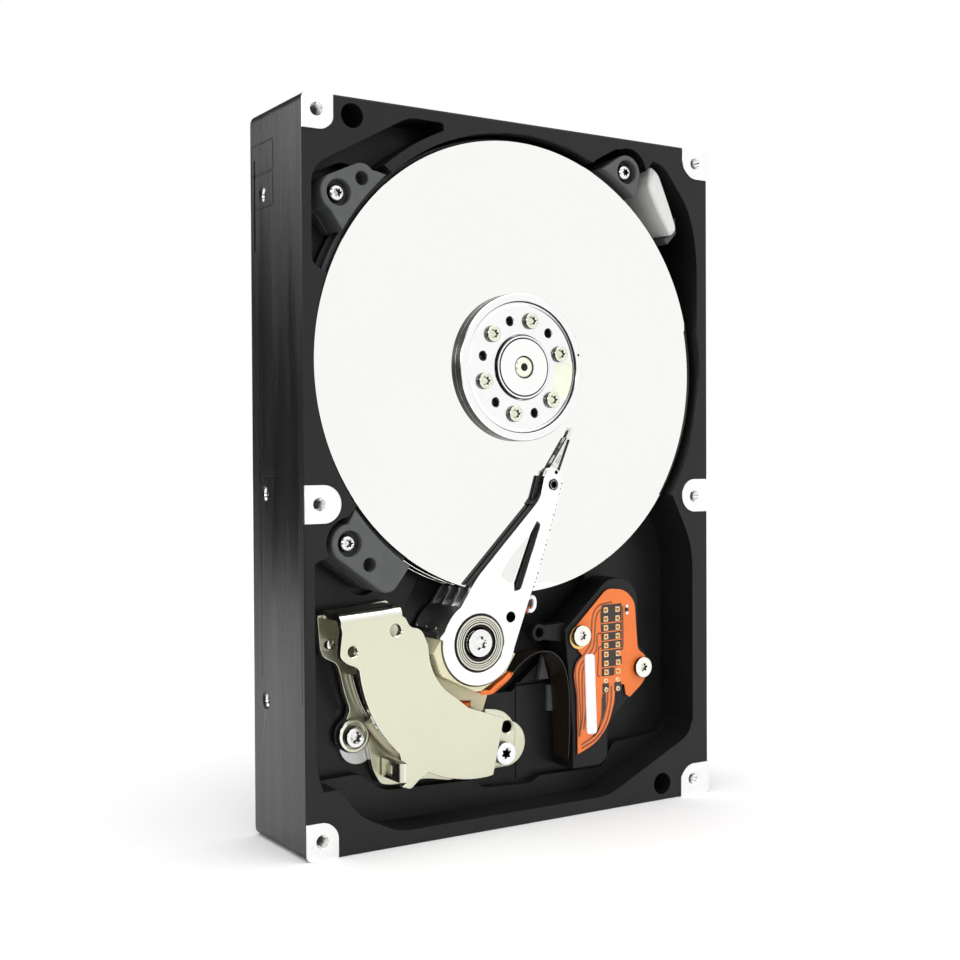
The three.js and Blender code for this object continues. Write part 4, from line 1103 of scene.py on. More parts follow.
def sector(inner, outer, half):
    return [
        *arc(PIVOT, outer, COIL_ANGLE - half, COIL_ANGLE + half),
        *arc(PIVOT, inner, COIL_ANGLE + half, COIL_ANGLE - half),
    ]


def ribs(start, end, pitch=0.55, height=0.14):
    """A straight side cut into fine ribs."""
    a, b = Vector(start), Vector(end)
    along = b - a
    away = Vector((along.y, -along.x)).normalized() * height
    count = int(along.length / pitch)
    points = []
    for i in range(count):
        for share, lift in ((0.0, 0), (0.25, 1), (0.55, 1), (0.8, 0)):
            points.append(tuple(a + along * ((i + share) / count) - away * (1 - lift)))
    return points


def winding_outline(inset):
    """The coil's outer edge, moved inwards."""
    narrow = inset * 1.6
    return [
        *arc(PIVOT, 26.6 - inset, COIL_ANGLE - 25.8 + narrow, COIL_ANGLE + 25.8 - narrow),
        *arc(PIVOT, 12.7 + inset, 270.6 - narrow * 2, COIL_ANGLE - 25.8 + narrow),
    ]


def coil():
    collar = [
        (-21.4, 38.3), (-21.9, 37.4), *ribs((-21.7, 37.2), (-20.3, 33.2)),
        *ribs((-19.8, 32.7), (-11.6, 28.8)), *ribs((-10.5, 28.8), (-4.8, 31.9)), (-4.3, 32.3), (-1.9, 36),
        (-8, 40), (-19, 41.6),
    ]
    front, back = depths("voice_coil")
    block = [polar(PIVOT, 8.8, 60), (0.7, 45.1), (-2.5, 36.8), (-10, 35.9)]
    ring = plate(sector(9, 28.1, 29), front, back, edge=0.25)
    foot = plate([(-13, 29.4), (-6.4, 27.8), (-7.6, 24.4), (-9.4, 22.2), (-13, 22.2)], front, back, edge=0.2)
    whole = combined(plate(collar, 1.3, 9, edge=0.2), [ring, foot], "UNION")
    opening = [*arc(PIVOT, 27, COIL_ANGLE - 26.9, COIL_ANGLE + 26.9),
               *arc(PIVOT, 12.4, 271.5, COIL_ANGLE - 26.9)]
    tools = [
        plate(circle(PIVOT, 9.1, 96), -5, 30, edge=0), plate(opening, 3, 8, edge=0),
        plate(block, -5, 30, edge=0),
    ]
    piece("coil_overmould", "actuator", cream_plastic, "cream_plastic", combined(whole, tools),
          nodes=["coil_frame"])
    winding = plate(winding_outline(0), front + 0.15, back - 0.15, [sector(17.6, 22.8, 13)], edge=0.3)
    wires = []
    for i in range(7):
        inset = 0.22 + 0.45 * i
        loop = winding_outline(inset)
        for depth in (front + 0.17, back - 0.17):
            wires.append(tube([(x, depth, z) for x, z in loop], 0.17, 6, closed=True))
    rim_loop = winding_outline(0)
    for i in range(4):
        wires.append(tube([(x, front + 0.4 + 0.4 * i, z) for x, z in rim_loop], 0.16, 6, closed=True))
    piece("coil_winding", "actuator", copper_wire, "copper", winding, *wires, nodes=["voice_coil"])


def along_beam(along, across):
    ux, uz = math.cos(math.radians(HEAD_ANGLE)), math.sin(math.radians(HEAD_ANGLE))
    return PIVOT[0] + along * ux + across * uz, PIVOT[1] + along * uz - across * ux


def beam(front, slider_front, slider_back, towards):
    """One load beam with its rails, flexure and slider. towards is the side that its rails turn to."""
    end = HEAD_REACH + 1.4
    outline = [along_beam(*p) for p in (
        (35.4, -1.5), (37.4, -1.7), (39.6, -1.45), (HEAD_REACH - 1.2, -0.5), (end, -0.3), (end, 0.3),
        (HEAD_REACH - 1.2, 0.5), (39.6, 1.45), (37.4, 1.7), (35.4, 1.5))]
    windows = [[along_beam(*p) for p in ((38.2, -0.9), (38.2, -0.2), (40.4, -0.2), (40.4, -0.7))],
               [along_beam(*p) for p in ((38.2, 0.2), (38.2, 0.9), (40.4, 0.7), (40.4, 0.2))],
               [along_beam(*p) for p in ((42.2, -0.4), (42.2, 0.4), (44.2, 0.25), (44.2, -0.25))]]
    parts = [plate(outline, front, front + 0.12, windows, edge=0.03, steps=2)]
    low = front + 0.1 if towards > 0 else front - 0.5
    for side in (-1, 1):
        rail = [along_beam(*p) for p in (
            (39.6, side * 1.45), (HEAD_REACH - 1.2, side * 0.5), (HEAD_REACH - 1.2, side * 0.36),
            (39.6, side * 1.28))]
        parts.append(plate(rail, low, low + 0.52, edge=0.03, steps=2))
    for at in (41.3, 45.2, 46.6):
        bar = [along_beam(*p) for p in ((at, -0.8), (at, 0.8), (at + 0.35, 0.7), (at + 0.35, -0.7))]
        parts.append(plate(bar, front - 0.1, front + 0.22, edge=0.05, steps=2))
    slider = [along_beam(HEAD_REACH + a, b) for a, b in ((-0.6, -0.5), (-0.6, 0.5), (0.6, 0.5), (0.6, -0.5))]
    parts.append(plate(slider, slider_front, slider_back, edge=0.03, steps=2))
    return parts


def suspensions():
    for i, front in enumerate(ARM_FRONTS):
        back = front + ARM
        swage = rounded([(0.55, front - 0.25), (0.95, front - 0.25, 0.1), (0.95, back + 0.25, 0.1),
                         (0.55, back + 0.25)], 3)
        parts = [turned(swage, SWAGE, 40)]
        if i > 0:
            surface = depths(f"platter_{i}")[1]
            parts += beam(front - 0.25, surface + 0.08, front - 0.2, 1)
        if i < 3:
            surface = depths(f"platter_{i + 1}")[0]
            parts += beam(back + 0.1, back + 0.2, surface - 0.08, -1)
        item = piece(f"suspension_{i + 1}", "actuator", bright_steel, "steel", *parts,
                     nodes=[f"head_suspension_{i + 1}"])
        # Painted shade: the beams' sides and the swage boss are given dark metal.
        refinished(item, painted_shade_metal, lambda normal, at: abs(normal.y) < 0.85
                   or math.dist((at[0], at[2]), SWAGE) < 0.7)


arm_block()
arm_edges()
pivot()
coil()
suspensions()


# ---------------------------------------------------------------- folded sheets and bands

def extruded(profile, start, end):
    """A closed (offset, depth) profile drawn from start to end; offsets grow to the left of that line."""
    along = Vector(end) - Vector(start)
    away = Vector((-along.y, along.x)).normalized()
    loop = clean(list(profile))
    count = len(loop)
    points = []
    for x, z in (start, end):
        points += [(x + away.x * offset, depth, z + away.y * offset) for offset, depth in loop]
    faces = [(i, (i + 1) % count, (i + 1) % count + count, i + count) for i in range(count)]
    for triangle in tessellate_polygon([[Vector((a, b, 0)) for a, b in loop]]):
        faces.append(tuple(triangle))
        faces.append(tuple(i + count for i in reversed(triangle)))
    return points, faces


def folded_edge(start, end, thickness, front, back, bend, tongue=0.3):
    """A sheet's edge folded back along the line from start to end, which is its outer face."""
    outside = [(-bend - tongue, front)] + [
        (-bend + bend * math.sin(a), front + bend - bend * math.cos(a)) for a in FOLD_ANGLES]
    inner = bend - thickness
    inside = [(-bend + inner * math.sin(a), front + bend - inner * math.cos(a))
              for a in reversed(FOLD_ANGLES)]
    profile = [*outside, (0, back - 0.15), (-0.15, back), (0.15 - thickness, back), (-thickness, back - 0.15),
               *inside, (-bend - tongue, front + thickness)]
    return extruded(profile, start, end)


FOLD_ANGLES = [math.pi / 16 * i for i in range(9)]


# ---------------------------------------------------------------- voice-coil motor

YOKE = 1.5
YOKE_REACH = 28
YOKE_BACK = depths("yoke_top")[1]
BOSS_RING = (-36, 21.4)


def top_yoke():
    front = depths("yoke_top")[0]
    outline = rounded([
        (-42.9, 45), (-29.3, 45.9), (-28.4, 45.4, 0.5), (-27.3, 43.4, 1), (-24.7, 42.9, 1.5), (-23.2, 39.5),
        *arc(PIVOT, 12.1, 186, 240), (-13.7, 25.9), (-5, 22.9), (-7.7, 11.3),
        *arc(PIVOT, YOKE_REACH, 274, 244), (-25.6, 12.4, 0.6), (-27.4, 10.9, 0.6), (-29.5, 11.6, 0.3),
        (-28.3, 12.4), (-28.3, 16.2), (-29.6, 17), *arc(PIVOT, YOKE_REACH, 227.5, 187), (-39.4, 36.4, 0.6),
        (-41.2, 37, 0.8), (-42.9, 38.3, 1.2), (-43, 39.9, 1), (-42.5, 43.7, 1),
    ])
    flange = folded_edge((-42.9, 47), (-29.3, 47.9), YOKE, front, YOKE_BACK, 2)
    tab = folded_edge((-29.8, 12.4), (-29.8, 16.2), 1.2, front, YOKE_BACK, 1.5)
    tab_window = plate(rectangle(-32, -26, 13.1, 15.3, 0.2), 4.4, 7.0, edge=0)
    whole = combined(plate(outline, front, front + YOKE, edge=0.18), [flange, tab], "UNION")
    holes = [cutter((-30.6, 43), 1.25, front, 5, 0.15, 48), cutter((-40.2, 39.5), 1.05, front, 5, 0.15, 48),
             tab_window]
    item = piece("yoke_cover_plate", "base", nickel, "nickel_plate", combined(whole, holes),
                 nodes=["yoke_top"])
    refinished(item, chrome, lambda normal, at: normal.y > -0.97)
    refinished(item, bearing_metal, lambda normal, at: normal.x < -0.4 and at[0] < -28 and at[2] < 18)


def bottom_yoke():
    front, back = depths("yoke_bottom")
    outline = rounded([
        (-43.9, 46, 0.6), (-28, 48.3, 0.8), (-26, 44, 2), (-23.4, 41), *arc(PIVOT, 13.2, 190, 250),
        (-4, 23.6, 1), (-1, 22.4, 1), *arc((1, 15.4), 5, 80, -95), (-5, 10.2, 2), (-11.2, 9.5, 1),
        (-13.4, 9.2, 1), (-19, 10.4, 2), (-27, 10.0, 1.5), (-29.9, 10.6, 1), (-31.5, 13.5, 1), (-32.3, 17, 1),
        *arc(BOSS_RING, 3.7, 330, 115), (-36.7, 26.5, 1), (-38.1, 30.6, 1), (-38.9, 34.1, 1),
        (-39.6, 36.1, 1), (-42.4, 37.4, 0.8), (-43.3, 39, 0.8),
    ])
    inner_lobe = rounded([
        (-6, 24), (-2.9, 23.6, 1), (-0.9, 22.9, 1), (1, 21.2, 1), (1.9, 18.7, 1), (1.9, 15.5, 1),
        (0.4, 12.4, 1), (-2, 11.2), (-5.9, 11.2),
    ])
    body = plate(outline, front, back, edge=0.2)
    ring = turned(rounded([(2.65, front + 0.3), (2.65, 8.5, 0.2), (3.5, 8.5, 0.35), (3.7, front + 0.3)], 4),
                  BOSS_RING, 72)
    lobe = plate(inner_lobe, 7.0, front + 0.2, edge=0.3, back_edge=0)
    dome = turned([(0, 8.3), (0.5, 8.36), (0.9, 8.6), (1.2, 9.0), (1.25, front + 0.2), (0, front + 0.2)],
                  (-41.3, 40.1), 40)
    whole = combined(body, [ring, lobe, dome], "UNION")
    tools = [plate(circle(middle(f"yoke_screw_{i}"), 1.6, 40), 8.9, 15, edge=0) for i in (1, 2)]
    tools.append(plate(circle(middle("yoke_screw_2"), 1.6, 40), 0, 15, edge=0))
    tools.append(cutter((-0.3, 19.5), 1.3, 7.0, front + 0.1, 0.2, 48))
    item = piece("yoke_base_plate", "base", nickel, "nickel_plate", combined(whole, tools),
                 nodes=["yoke_bottom"])
    refinished(item, chrome, lambda normal, at: abs(normal.y) < 0.5 or (at[0] < -38 and at[1] < 9.25))
    # Painted shade in the lobe's hole.
    refinished(item, painted_shade_metal, within((-0.3, 19.5), 1.35, 7.15))
    boss = turned(rounded([(0, 10.85), (4.2, 10.85, 0.3), (4.4, 12.1), (0, 12.1)], 4), (-34.2, 19.1), 72)
    hole = [plate(circle(middle("yoke_screw_1"), 1.4, 24), 10, 12.4, edge=0)]
    piece("yoke_boss", "base", turned_metal, "bare_aluminium", combined(boss, hole))


def magnets():
    for name in ("magnet_top", "magnet_bottom"):
        outline = [*arc(PIVOT, 26.8, 191, 269), *arc(PIVOT, 13.6, 269, 191)]
        front, back = depths(name)
        piece(name.replace("magnet", "magnet_block"), "base", dark_nickel, "magnet_nickel",
              plate(outline, front, back, edge=0.35, steps=4), nodes=[name])


def yoke_screws():
    screw = torx_screw(2.1, 1.5, 1.25, 4.0, 1.3, dome=0.25, turn=10)
    set_screw("yoke_bolt_1", "yoke_screw_1", "base", screw, 1.25, bright_steel)
    screw = torx_screw(2.45, 4.0, 1.2, 6.4, 1.3, dome=0.2, turn=20)
    set_screw("yoke_bolt_2", "yoke_screw_2", "base", screw, 1.2, white_steel)


def crash_stops():
    for i in (1, 2):
        at = middle(f"crash_stop_{i}")
        front, back = depths(f"crash_stop_{i}")
        radius = reach(f"crash_stop_{i}")
        sleeve = rounded([(0.62, front + 0.3), (radius - 0.25, front + 0.3, 0.25), (radius, front + 1.2, 0.3),
                          (radius - 0.2, front + 1.8, 0.2), (radius, front + 2.4, 0.3), (radius, back, 0.2),
                          (0.62, back)], 4)
        piece(f"crash_sleeve_{i}", "base", rubber, "rubber", turned(sleeve, at, 40),
              nodes=[f"crash_stop_{i}"])
        pin = rounded([(0, front), (0.55, front, 0.2), (0.55, back), (0, back)], 3)
        piece(f"crash_pin_{i}", "base", bright_steel, "steel", turned(pin, at, 24))


top_yoke()
bottom_yoke()
magnets()
yoke_screws()
crash_stops()


# ---------------------------------------------------------------- flex connector

FILM = depths("flex_circuit")
FILM_TOP = FILM[0]
PIN_X = (23.8, 27.1)
PIN_STEP = 1.97
FIRST_PIN_Z = 43.35


def flex_bracket():
    front, back = depths("flex_bracket")
    outline = rounded([
        (13.2, 39.7, 0.8), (24.7, 50, 1.5), (29.8, 50.3, 2), (33.3, 47.1, 2), (33.5, 35, 1), (36.4, 32, 1.5),
        (36.4, 27.8, 2), (33.5, 24.8, 1), (30.9, 23.4, 1), (24.8, 17.6, 1), (24.8, 10.4, 1.4),
        (22.6, 8.9, 0.6), (15.2, 8.9, 0.5), (15.2, 17.3),
    ])
    ring_centre = (7.7, 39.2)
    arm = rounded([(14.6, 41), (8, 40.7), (8, 37.7), (14.6, 36.6)])
    parts = [plate(arm, 6, 9, edge=0.25), plate(circle(ring_centre, 1.9, 56), 6, 9, edge=0.3)]
    whole = combined(plate(outline, front, back, edge=0.35), parts, "UNION")
    tools = [cutter(ring_centre, 1.05, 6, 8.6, 0.2, 40)]
    tools += [plate(circle(middle(f"flex_screw_{i}"), 1.3, 32), 0, 10, edge=0) for i in (1, 2)]
    piece("bracket", "base", bracket_plastic, "moulded_plastic", combined(whole, tools),
          nodes=["flex_bracket"])


def bracket_foot():
    """Raised faces of the moulding below the ribbon, made lighter grey as a painted highlight."""
    blade = plate([(11.6, 33.6), (10.5, 28.2), (13.2, 28.2)], 10.4, 11.6, edge=0.15)
    foot = plate(rectangle(12.9, 15.0, 21, 26.8, 0.3), 10.4, 11.6, edge=0.2)
    piece("bracket_foot", "base", ear_plastic, "moulded_plastic", blade, foot)


def film_outline():
    return rounded([
        (16.1, 12.2, 0.4), (16.1, 17), (15.9, 25.1, 1), (15.1, 29.9, 1), (15.9, 32.5, 0.5), (17.6, 33.7, 0.4),
        (16.3, 35, 0.4), (15.7, 40.2, 0.6), (24.3, 48.1, 1.5), (29.3, 47.6, 2), (32.1, 44.8, 1.5),
        (32.6, 38, 1), (33, 33.9, 1), (35.4, 32.2, 1.5), (36, 28.8, 1.5), (34.2, 26.1, 1), (30.6, 23.4, 0.3),
        (29.5, 24.1, 0.3), (29.1, 26.4, 0.3), (26.6, 26.6, 0.2), (26.2, 22.7), (24.6, 17.8, 2),
        (21.2, 14.2, 2),
    ])


def flex_film():
    holes = [circle(middle("flex_screw_1"), 2.0, 40), circle(middle("flex_screw_2"), 1.3, 40)]
    item = plate(film_outline(), *FILM, holes, edge=0.03, steps=2)
    piece("flex_film", "base", orange_film, "orange_flex", item, nodes=["flex_circuit"])
    ring = rounded([(1.95, FILM_TOP - 0.12), (2.55, FILM_TOP - 0.12, 0.05), (2.55, FILM_TOP + 0.05),
                    (1.95, FILM_TOP + 0.05)], 3)
    ring_centre = moved([middle("flex_screw_1")], -0.25, -0.4)[0]
    piece("ground_ring", "base", gold_plate, "gold", turned(ring, ring_centre, 56))


def flex_traces():
    """Dark gaps between the copper lines under the film, and the windows round the pins."""
    lines = [
        [(25.6, 45), (23.4, 44.8), (21.7, 44.3), (20.3, 42.4), (19.9, 39), (19.6, 36.2), (18.0, 34.2),
         (16.0, 32.2), (15.5, 29.9), (16.0, 25), (16.3, 19.6), (16.4, 16)],
        [(24, 43.9), (23.0, 43.8), (21.6, 42.7), (21.0, 40.8), (20.5, 35.7), (18.6, 33.4), (17.0, 31.8),
         (16.4, 29.8), (16.6, 25), (16.9, 20.3), (16.6, 16.2)],
        [(22.7, 38.3), (21.5, 38), (21.3, 34.8), (19.4, 32.8), (17.8, 31.2), (17.3, 28.9), (17.4, 21),
         (16.9, 17.4)],
        [(22.6, 35.4), (21.9, 34.9), (21.8, 32.4), (21.6, 29.3), (22.2, 28.7)],
        [(24.4, 26.2), (24.2, 22.7), (22.9, 18.9), (20.7, 16), (17, 14.2)],
        [(25.4, 26.3), (25.2, 22.6), (23.8, 18.2), (21.2, 15.2), (17, 13.4)],
        [(22.8, 24), (22.7, 20.2), (21.6, 16.9), (20.3, 15.6)],
        [(18.4, 30.6), (18.2, 27), (18.3, 22), (17.7, 17.6)],
        [(28.6, 44), (28.7, 36), (28.5, 34.2)],
    ]
    shapes = [plate(band(smooth(line), 0.36 if i < 4 else 0.4), FILM_TOP - 0.03, FILM_TOP + 0.02, edge=0)
              for i, line in enumerate(lines)]
    piece("film_lines", "base", trace_film, "brown_flex", *shapes)
    windows = [
        rounded([(22.8, 44.5, 0.2), (28.3, 44.6, 0.2), (28.4, 34.2, 0.2), (27.6, 33.9, 0.2),
                 (27.6, 32.9, 0.2), (28.3, 32.8, 0.2), (28.3, 31.1, 0.2), (26.3, 30.6, 0.2),
                 (26.2, 28.7, 0.2), (22.7, 28.7, 0.2), (22.7, 36, 0.2), (22.4, 42.4, 0.2)]),
        rectangle(22.9, 24.7, 25, 27.1, 0.3), rectangle(26.2, 28.2, 25, 27.1, 0.3),
        rounded([(22.9, 24.9, 0.2), (23.9, 24.9, 0.2), (23.8, 21.6, 0.2), (22.8, 18.6), (22.7, 21)]),
    ]
    shapes = [plate(outline, FILM_TOP - 0.04, FILM_TOP + 0.015, edge=0) for outline in windows]
    piece("film_windows", "base", window_film, "moulded_plastic", *shapes)
    bridges = [[(22.6, FIRST_PIN_Z - PIN_STEP * (row + 0.5)),
                (28.3, FIRST_PIN_Z - PIN_STEP * (row + 0.5) + 0.15)]
               for row in (1, 2, 3, 4, 6)]
    shapes = [plate(band(path, 0.26), FILM_TOP - 0.05, FILM_TOP - 0.01, edge=0) for path in bridges]
    piece("film_bridges", "base", orange_film, "orange_flex", *shapes)


def pins():
    front = depths("pin_header")[0]
    shapes, collars = [], []
    for x in PIN_X:
        for row in range(10):
            at = (x + 0.02 * row, FIRST_PIN_Z - PIN_STEP * row)
            if row < 8:
                pin = [(0, front + 0.05), (0.28, front + 0.05), (0.36, front + 0.18), (0.38, FILM_TOP),
                       (0, FILM_TOP)]
                pin = turned(pin, (0, 0), 4)
                turn = math.radians(45)
                shapes.append(placed(pin, lambda a, b, c, at=at: (
                    at[0] + a * math.cos(turn) - c * math.sin(turn), b,
                    at[1] + a * math.sin(turn) + c * math.cos(turn))))
                collars.append(plate(rectangle(at[0] - 0.62, at[0] + 0.62, at[1] - 0.62, at[1] + 0.62, 0.2),
                                     FILM_TOP - 0.16, FILM_TOP, edge=0.05, back_edge=0, steps=2))
            else:
                collars.append(turned([(0.22, FILM_TOP - 0.12), (0.5, FILM_TOP - 0.12), (0.62, FILM_TOP),
                                       (0.22, FILM_TOP)], at, 24))
    piece("gold_pins", "base", gold_plate, "gold", *shapes, nodes=["pin_header"])
    piece("pin_solder", "base", pin_solder, "gold", *collars)
    spot = (29.8, 43.1)
    parts = [plate(circle((spot[0], spot[1] + dz), 0.42, 24), FILM_TOP - 0.25, FILM_TOP, edge=0.15)
             for dz in (0.75, -0.75)]
    piece("film_capacitor_ends", "base", white_steel, "steel", *parts)
    body = plate(rectangle(spot[0] - 0.5, spot[0] + 0.3, spot[1] - 0.42, spot[1] + 0.42, 0.1), FILM_TOP - 0.3,
                 FILM_TOP, edge=0.06)
    piece("film_capacitor", "base", epoxy, "chip_black", body)


def stiffener():
    front = depths("flex_stiffener")[0]
    outline = rounded([(17.85, 34, 0.9), (20.5, 34, 0.9), (21.15, 16.3, 0.9), (18.4, 16.3, 0.9)])
    piece("stiffener_strip", "base", white_film, "white_label",
          plate(outline, front + 0.3, FILM_TOP, edge=0.12), nodes=["flex_stiffener"])


def flex_screws():
    screw = torx_screw(2.3, 0.95, 1.0, 6.8, 1, dome=0.25, turn=8)
    for i in (1, 2):
        set_screw(f"flex_bolt_{i}", f"flex_screw_{i}", "base", screw, 1.0, cream_steel)


def ribbon():
    """The flex strip standing on edge between the bracket and the arms."""
    middle_line = smooth([(14.6, 11), (14.5, 16), (14.2, 21), (13.7, 27), (12.4, 32), (9.8, 34.9),
                          (6.4, 35.4), (3, 34), (0.4, 31.6), (-1.6, 30.4)], 8)
    film = 0.14
    outline = band(middle_line, film)
    count = len(middle_line)
    rings = []
    for i in range(count):
        share = i / (count - 1)
        front = 5.2 - 1.6 * math.sin(math.pi * min(1, share * 1.15))
        back = 10.8 - 0.8 * share
        (ax, az), (bx, bz) = outline[i], outline[-1 - i]
        rings.append([(ax, front, az), (ax, back, az), (bx, back, bz), (bx, front, bz)])
    points = [point for ring in rings for point in ring]
    faces = [(0, 1, 2, 3), tuple(4 * (count - 1) + k for k in (3, 2, 1, 0))]
    for i in range(count - 1):
        for k in range(4):
            a, b = 4 * i + k, 4 * i + (k + 1) % 4
            faces.append((a, b, b + 4, a + 4))
    strip = piece("ribbon", None, brown_film, "brown_flex", (points, faces), nodes=["flex_ribbon"])
    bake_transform(strip)


def hub_strip():
    """Flex on the arm block: the orange strip round the collar, and a loop with its chip at the arm."""
    line = smooth([(-10.6, 28.6), (-9.2, 28.2), (-7.6, 28.3), (-5.4, 29.6), (-3.4, 31.0), (-2.5, 32.1)], 6)
    front, back = 1.2, 6.4
    film = plate(band(line, 0.16), front, back, edge=0.04, steps=2)
    wave = smooth([(-10.4, 28.45), (-9.3, 28.6), (-8.1, 28.5), (-6.6, 29.6), (-5.0, 30.5), (-3.1, 31.9)], 5)
    lip = plate(band(wave, 0.9), front + 0.1, front + 0.35, edge=0.1, steps=2)
    piece("hub_film", "actuator", orange_film, "orange_flex", film, lip)
    chip_front, chip_back = depths("arm_flex")
    loop = smooth([(2.0, 47.4), (2.6, 47.7), (3.3, 47.3), (3.5, 46.2), (3.2, 45.2), (2.5, 44.7), (1.9, 44.9)],
                  6)
    tail = plate(band(loop, 0.75), chip_front, chip_front + 0.8, edge=0.15)
    piece("arm_loop", "actuator", white_film, "white_label", tail)
    chip = rounded([(1.7, 45.6, 0.1), (2.5, 45.9, 0.1), (2.7, 47.1, 0.1), (2.0, 47.1, 0.1)])
    piece("preamp_chip", "actuator", epoxy, "chip_black",
          plate(chip, chip_front + 0.15, chip_front + 1.0, edge=0.08))
    side = rounded([(2.5, 44), (3.1, 45.8), (4, 47.8, 0.4), (3.2, 48, 0.4), (1.6, 45)])
    piece("arm_flex_film", "actuator", orange_film, "orange_flex",
          plate(side, chip_front + 1.1, chip_back, edge=0.1), nodes=["arm_flex"])


flex_bracket()
bracket_foot()
flex_film()
flex_traces()
pins()
stiffener()
flex_screws()
ribbon()
hub_strip()


# ---------------------------------------------------------------- circuit board, behind the drive

BOARD_FRONT, BOARD_BACK = depths("circuit_board")
BOARD_HALF_WIDTH = 45.8
BOARD_HOLE = 1.3
MOTOR_CUT = 21


def board_outline():
    edge, low, high = BOARD_HALF_WIDTH, 0.8, 79.4
    return [(-edge, low), (edge, low), (edge, high), *arc(SPINDLE, MOTOR_CUT, -52.6, -127.4), (-edge, high)]


def board():
    holes = [circle(middle(f"board_screw_{i}"), BOARD_HOLE, 32) for i in range(1, 5)]
    vias = [(-43 + 2.1 * i, 22 + 2.4 * (i % 3)) for i in range(8)]
    vias += [(22 + 2.4 * i, 30 + 3.3 * (i % 3)) for i in range(7)]
    holes += [circle(at, 0.3, 12) for at in vias]
    sheet = plate(board_outline(), BOARD_FRONT, BOARD_BACK, holes, edge=0.08)
    clearances = [plate(circle(at, 4.4, 48), 10, 30, edge=0) for at in BOTTOM_HOLES[:2]]
    piece("board", "base", board_mask, "board_green", combined(sheet, clearances), nodes=["circuit_board"])
    rings = [plate(circle(middle(f"board_screw_{i}"), 2.9, 48), BOARD_BACK - 0.02, BOARD_BACK + 0.05,
                   [circle(middle(f"board_screw_{i}"), 1.35, 32)], edge=0.01) for i in range(1, 5)]
    pads = [plate(circle(at, 0.55, 24), BOARD_BACK - 0.02, BOARD_BACK + 0.04, [circle(at, 0.28, 12)],
                  edge=0.01) for at in vias]
    test_points = [plate(circle((-36 + 2.2 * i, 68), 0.6, 24), BOARD_BACK - 0.02, BOARD_BACK + 0.05,
                         edge=0.02) for i in range(8)]
    piece("board_pads", "base", gold_plate, "gold", *rings, *pads, *test_points)


def traces():
    """Copper tracks under the solder mask, as slightly raised bands."""
    paths = []
    for i in range(9):
        paths.append([(-8 + 2 * i, 34), (-8 + 2 * i, 30 - 0.5 * i), (-22 + 2.6 * i, 20 - 0.4 * i),
                      (-22 + 2.6 * i, 11)])
    for i in range(6):
        across, up = 24.4 - 1.3 * i, 37 + 2 * i
        paths.append([(9, up), (across - 2, up), (across, up + 2), (across, 52)])
    for i in range(7):
        paths.append([(-15, 26 + 2.2 * i), (-12 - 0.3 * i, 26 + 2.2 * i), (-9.5, 36 + 2 * i)])
    for i in range(4):
        paths.append([(17 + 2 * i, 62), (17 + 2 * i, 66), (11 + 2 * i, 72)])
    lines = [plate(band(path, 0.45), BOARD_BACK - 0.03, BOARD_BACK + 0.05, edge=0.02, steps=1)
             for path in paths]
    piece("board_tracks", "base", track_mask, "board_green", *lines)


def gull_leads(edge_start, edge_end, count, chip_top):
    """Leads along one side of a chip, from edge_start to edge_end with the body on the left."""
    start, end = Vector(edge_start), Vector(edge_end)
    leads = []
    middle_depth = (BOARD_BACK + chip_top) / 2
    profile = [(0.4, middle_depth), (-0.35, middle_depth), (-0.6, BOARD_BACK + 0.2), (-1.1, BOARD_BACK + 0.2),
               (-1.1, BOARD_BACK + 0.02), (-0.5, BOARD_BACK + 0.02), (-0.22, middle_depth - 0.18),
               (0.4, middle_depth - 0.18)]
    for i in range(count):
        centre = start.lerp(end, (i + 0.5) / count)
        half = (end - start) / count * 0.28
        leads.append(extruded(profile, tuple(centre - half), tuple(centre + half)))
    return leads


def chip(name, node, leads_on):
    (low_x, low_z), (high_x, high_z) = corners_of(node)
    front, back = depths(node)
    inset = 0.9
    outline = rectangle(low_x + inset, high_x - inset, low_z + inset, high_z - inset, 0.35)
    body = plate(outline, front + 0.1, back, edge=0.05, back_edge=0.18)
    dimple = turned([(0, back - 0.12), (0.7, back - 0.12), (0.8, back + 0.5), (0, back + 0.5)],
                    (low_x + 2.4, high_z - 2.4), 32)
    piece(name, "base", epoxy, "chip_black", combined(body, [dimple]), nodes=[node])
    sides = {
        "low": ((low_x + 1.4, low_z + inset), (high_x - 1.4, low_z + inset)),
        "right": ((high_x - inset, low_z + 1.4), (high_x - inset, high_z - 1.4)),
        "high": ((high_x - 1.4, high_z - inset), (low_x + 1.4, high_z - inset)),
        "left": ((low_x + inset, high_z - 1.4), (low_x + inset, low_z + 1.4)),
    }
    leads = []
    for side in leads_on:
        start, end = sides[side]
        leads += gull_leads(start, end, round(math.dist(start, end) / 0.8), back)
    piece(f"{name}_leads", "base", solder, "steel", *leads)


def corners_of(node):
    low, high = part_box(node)
    return (low.x / MM, low.z / MM), (high.x / MM, high.z / MM)


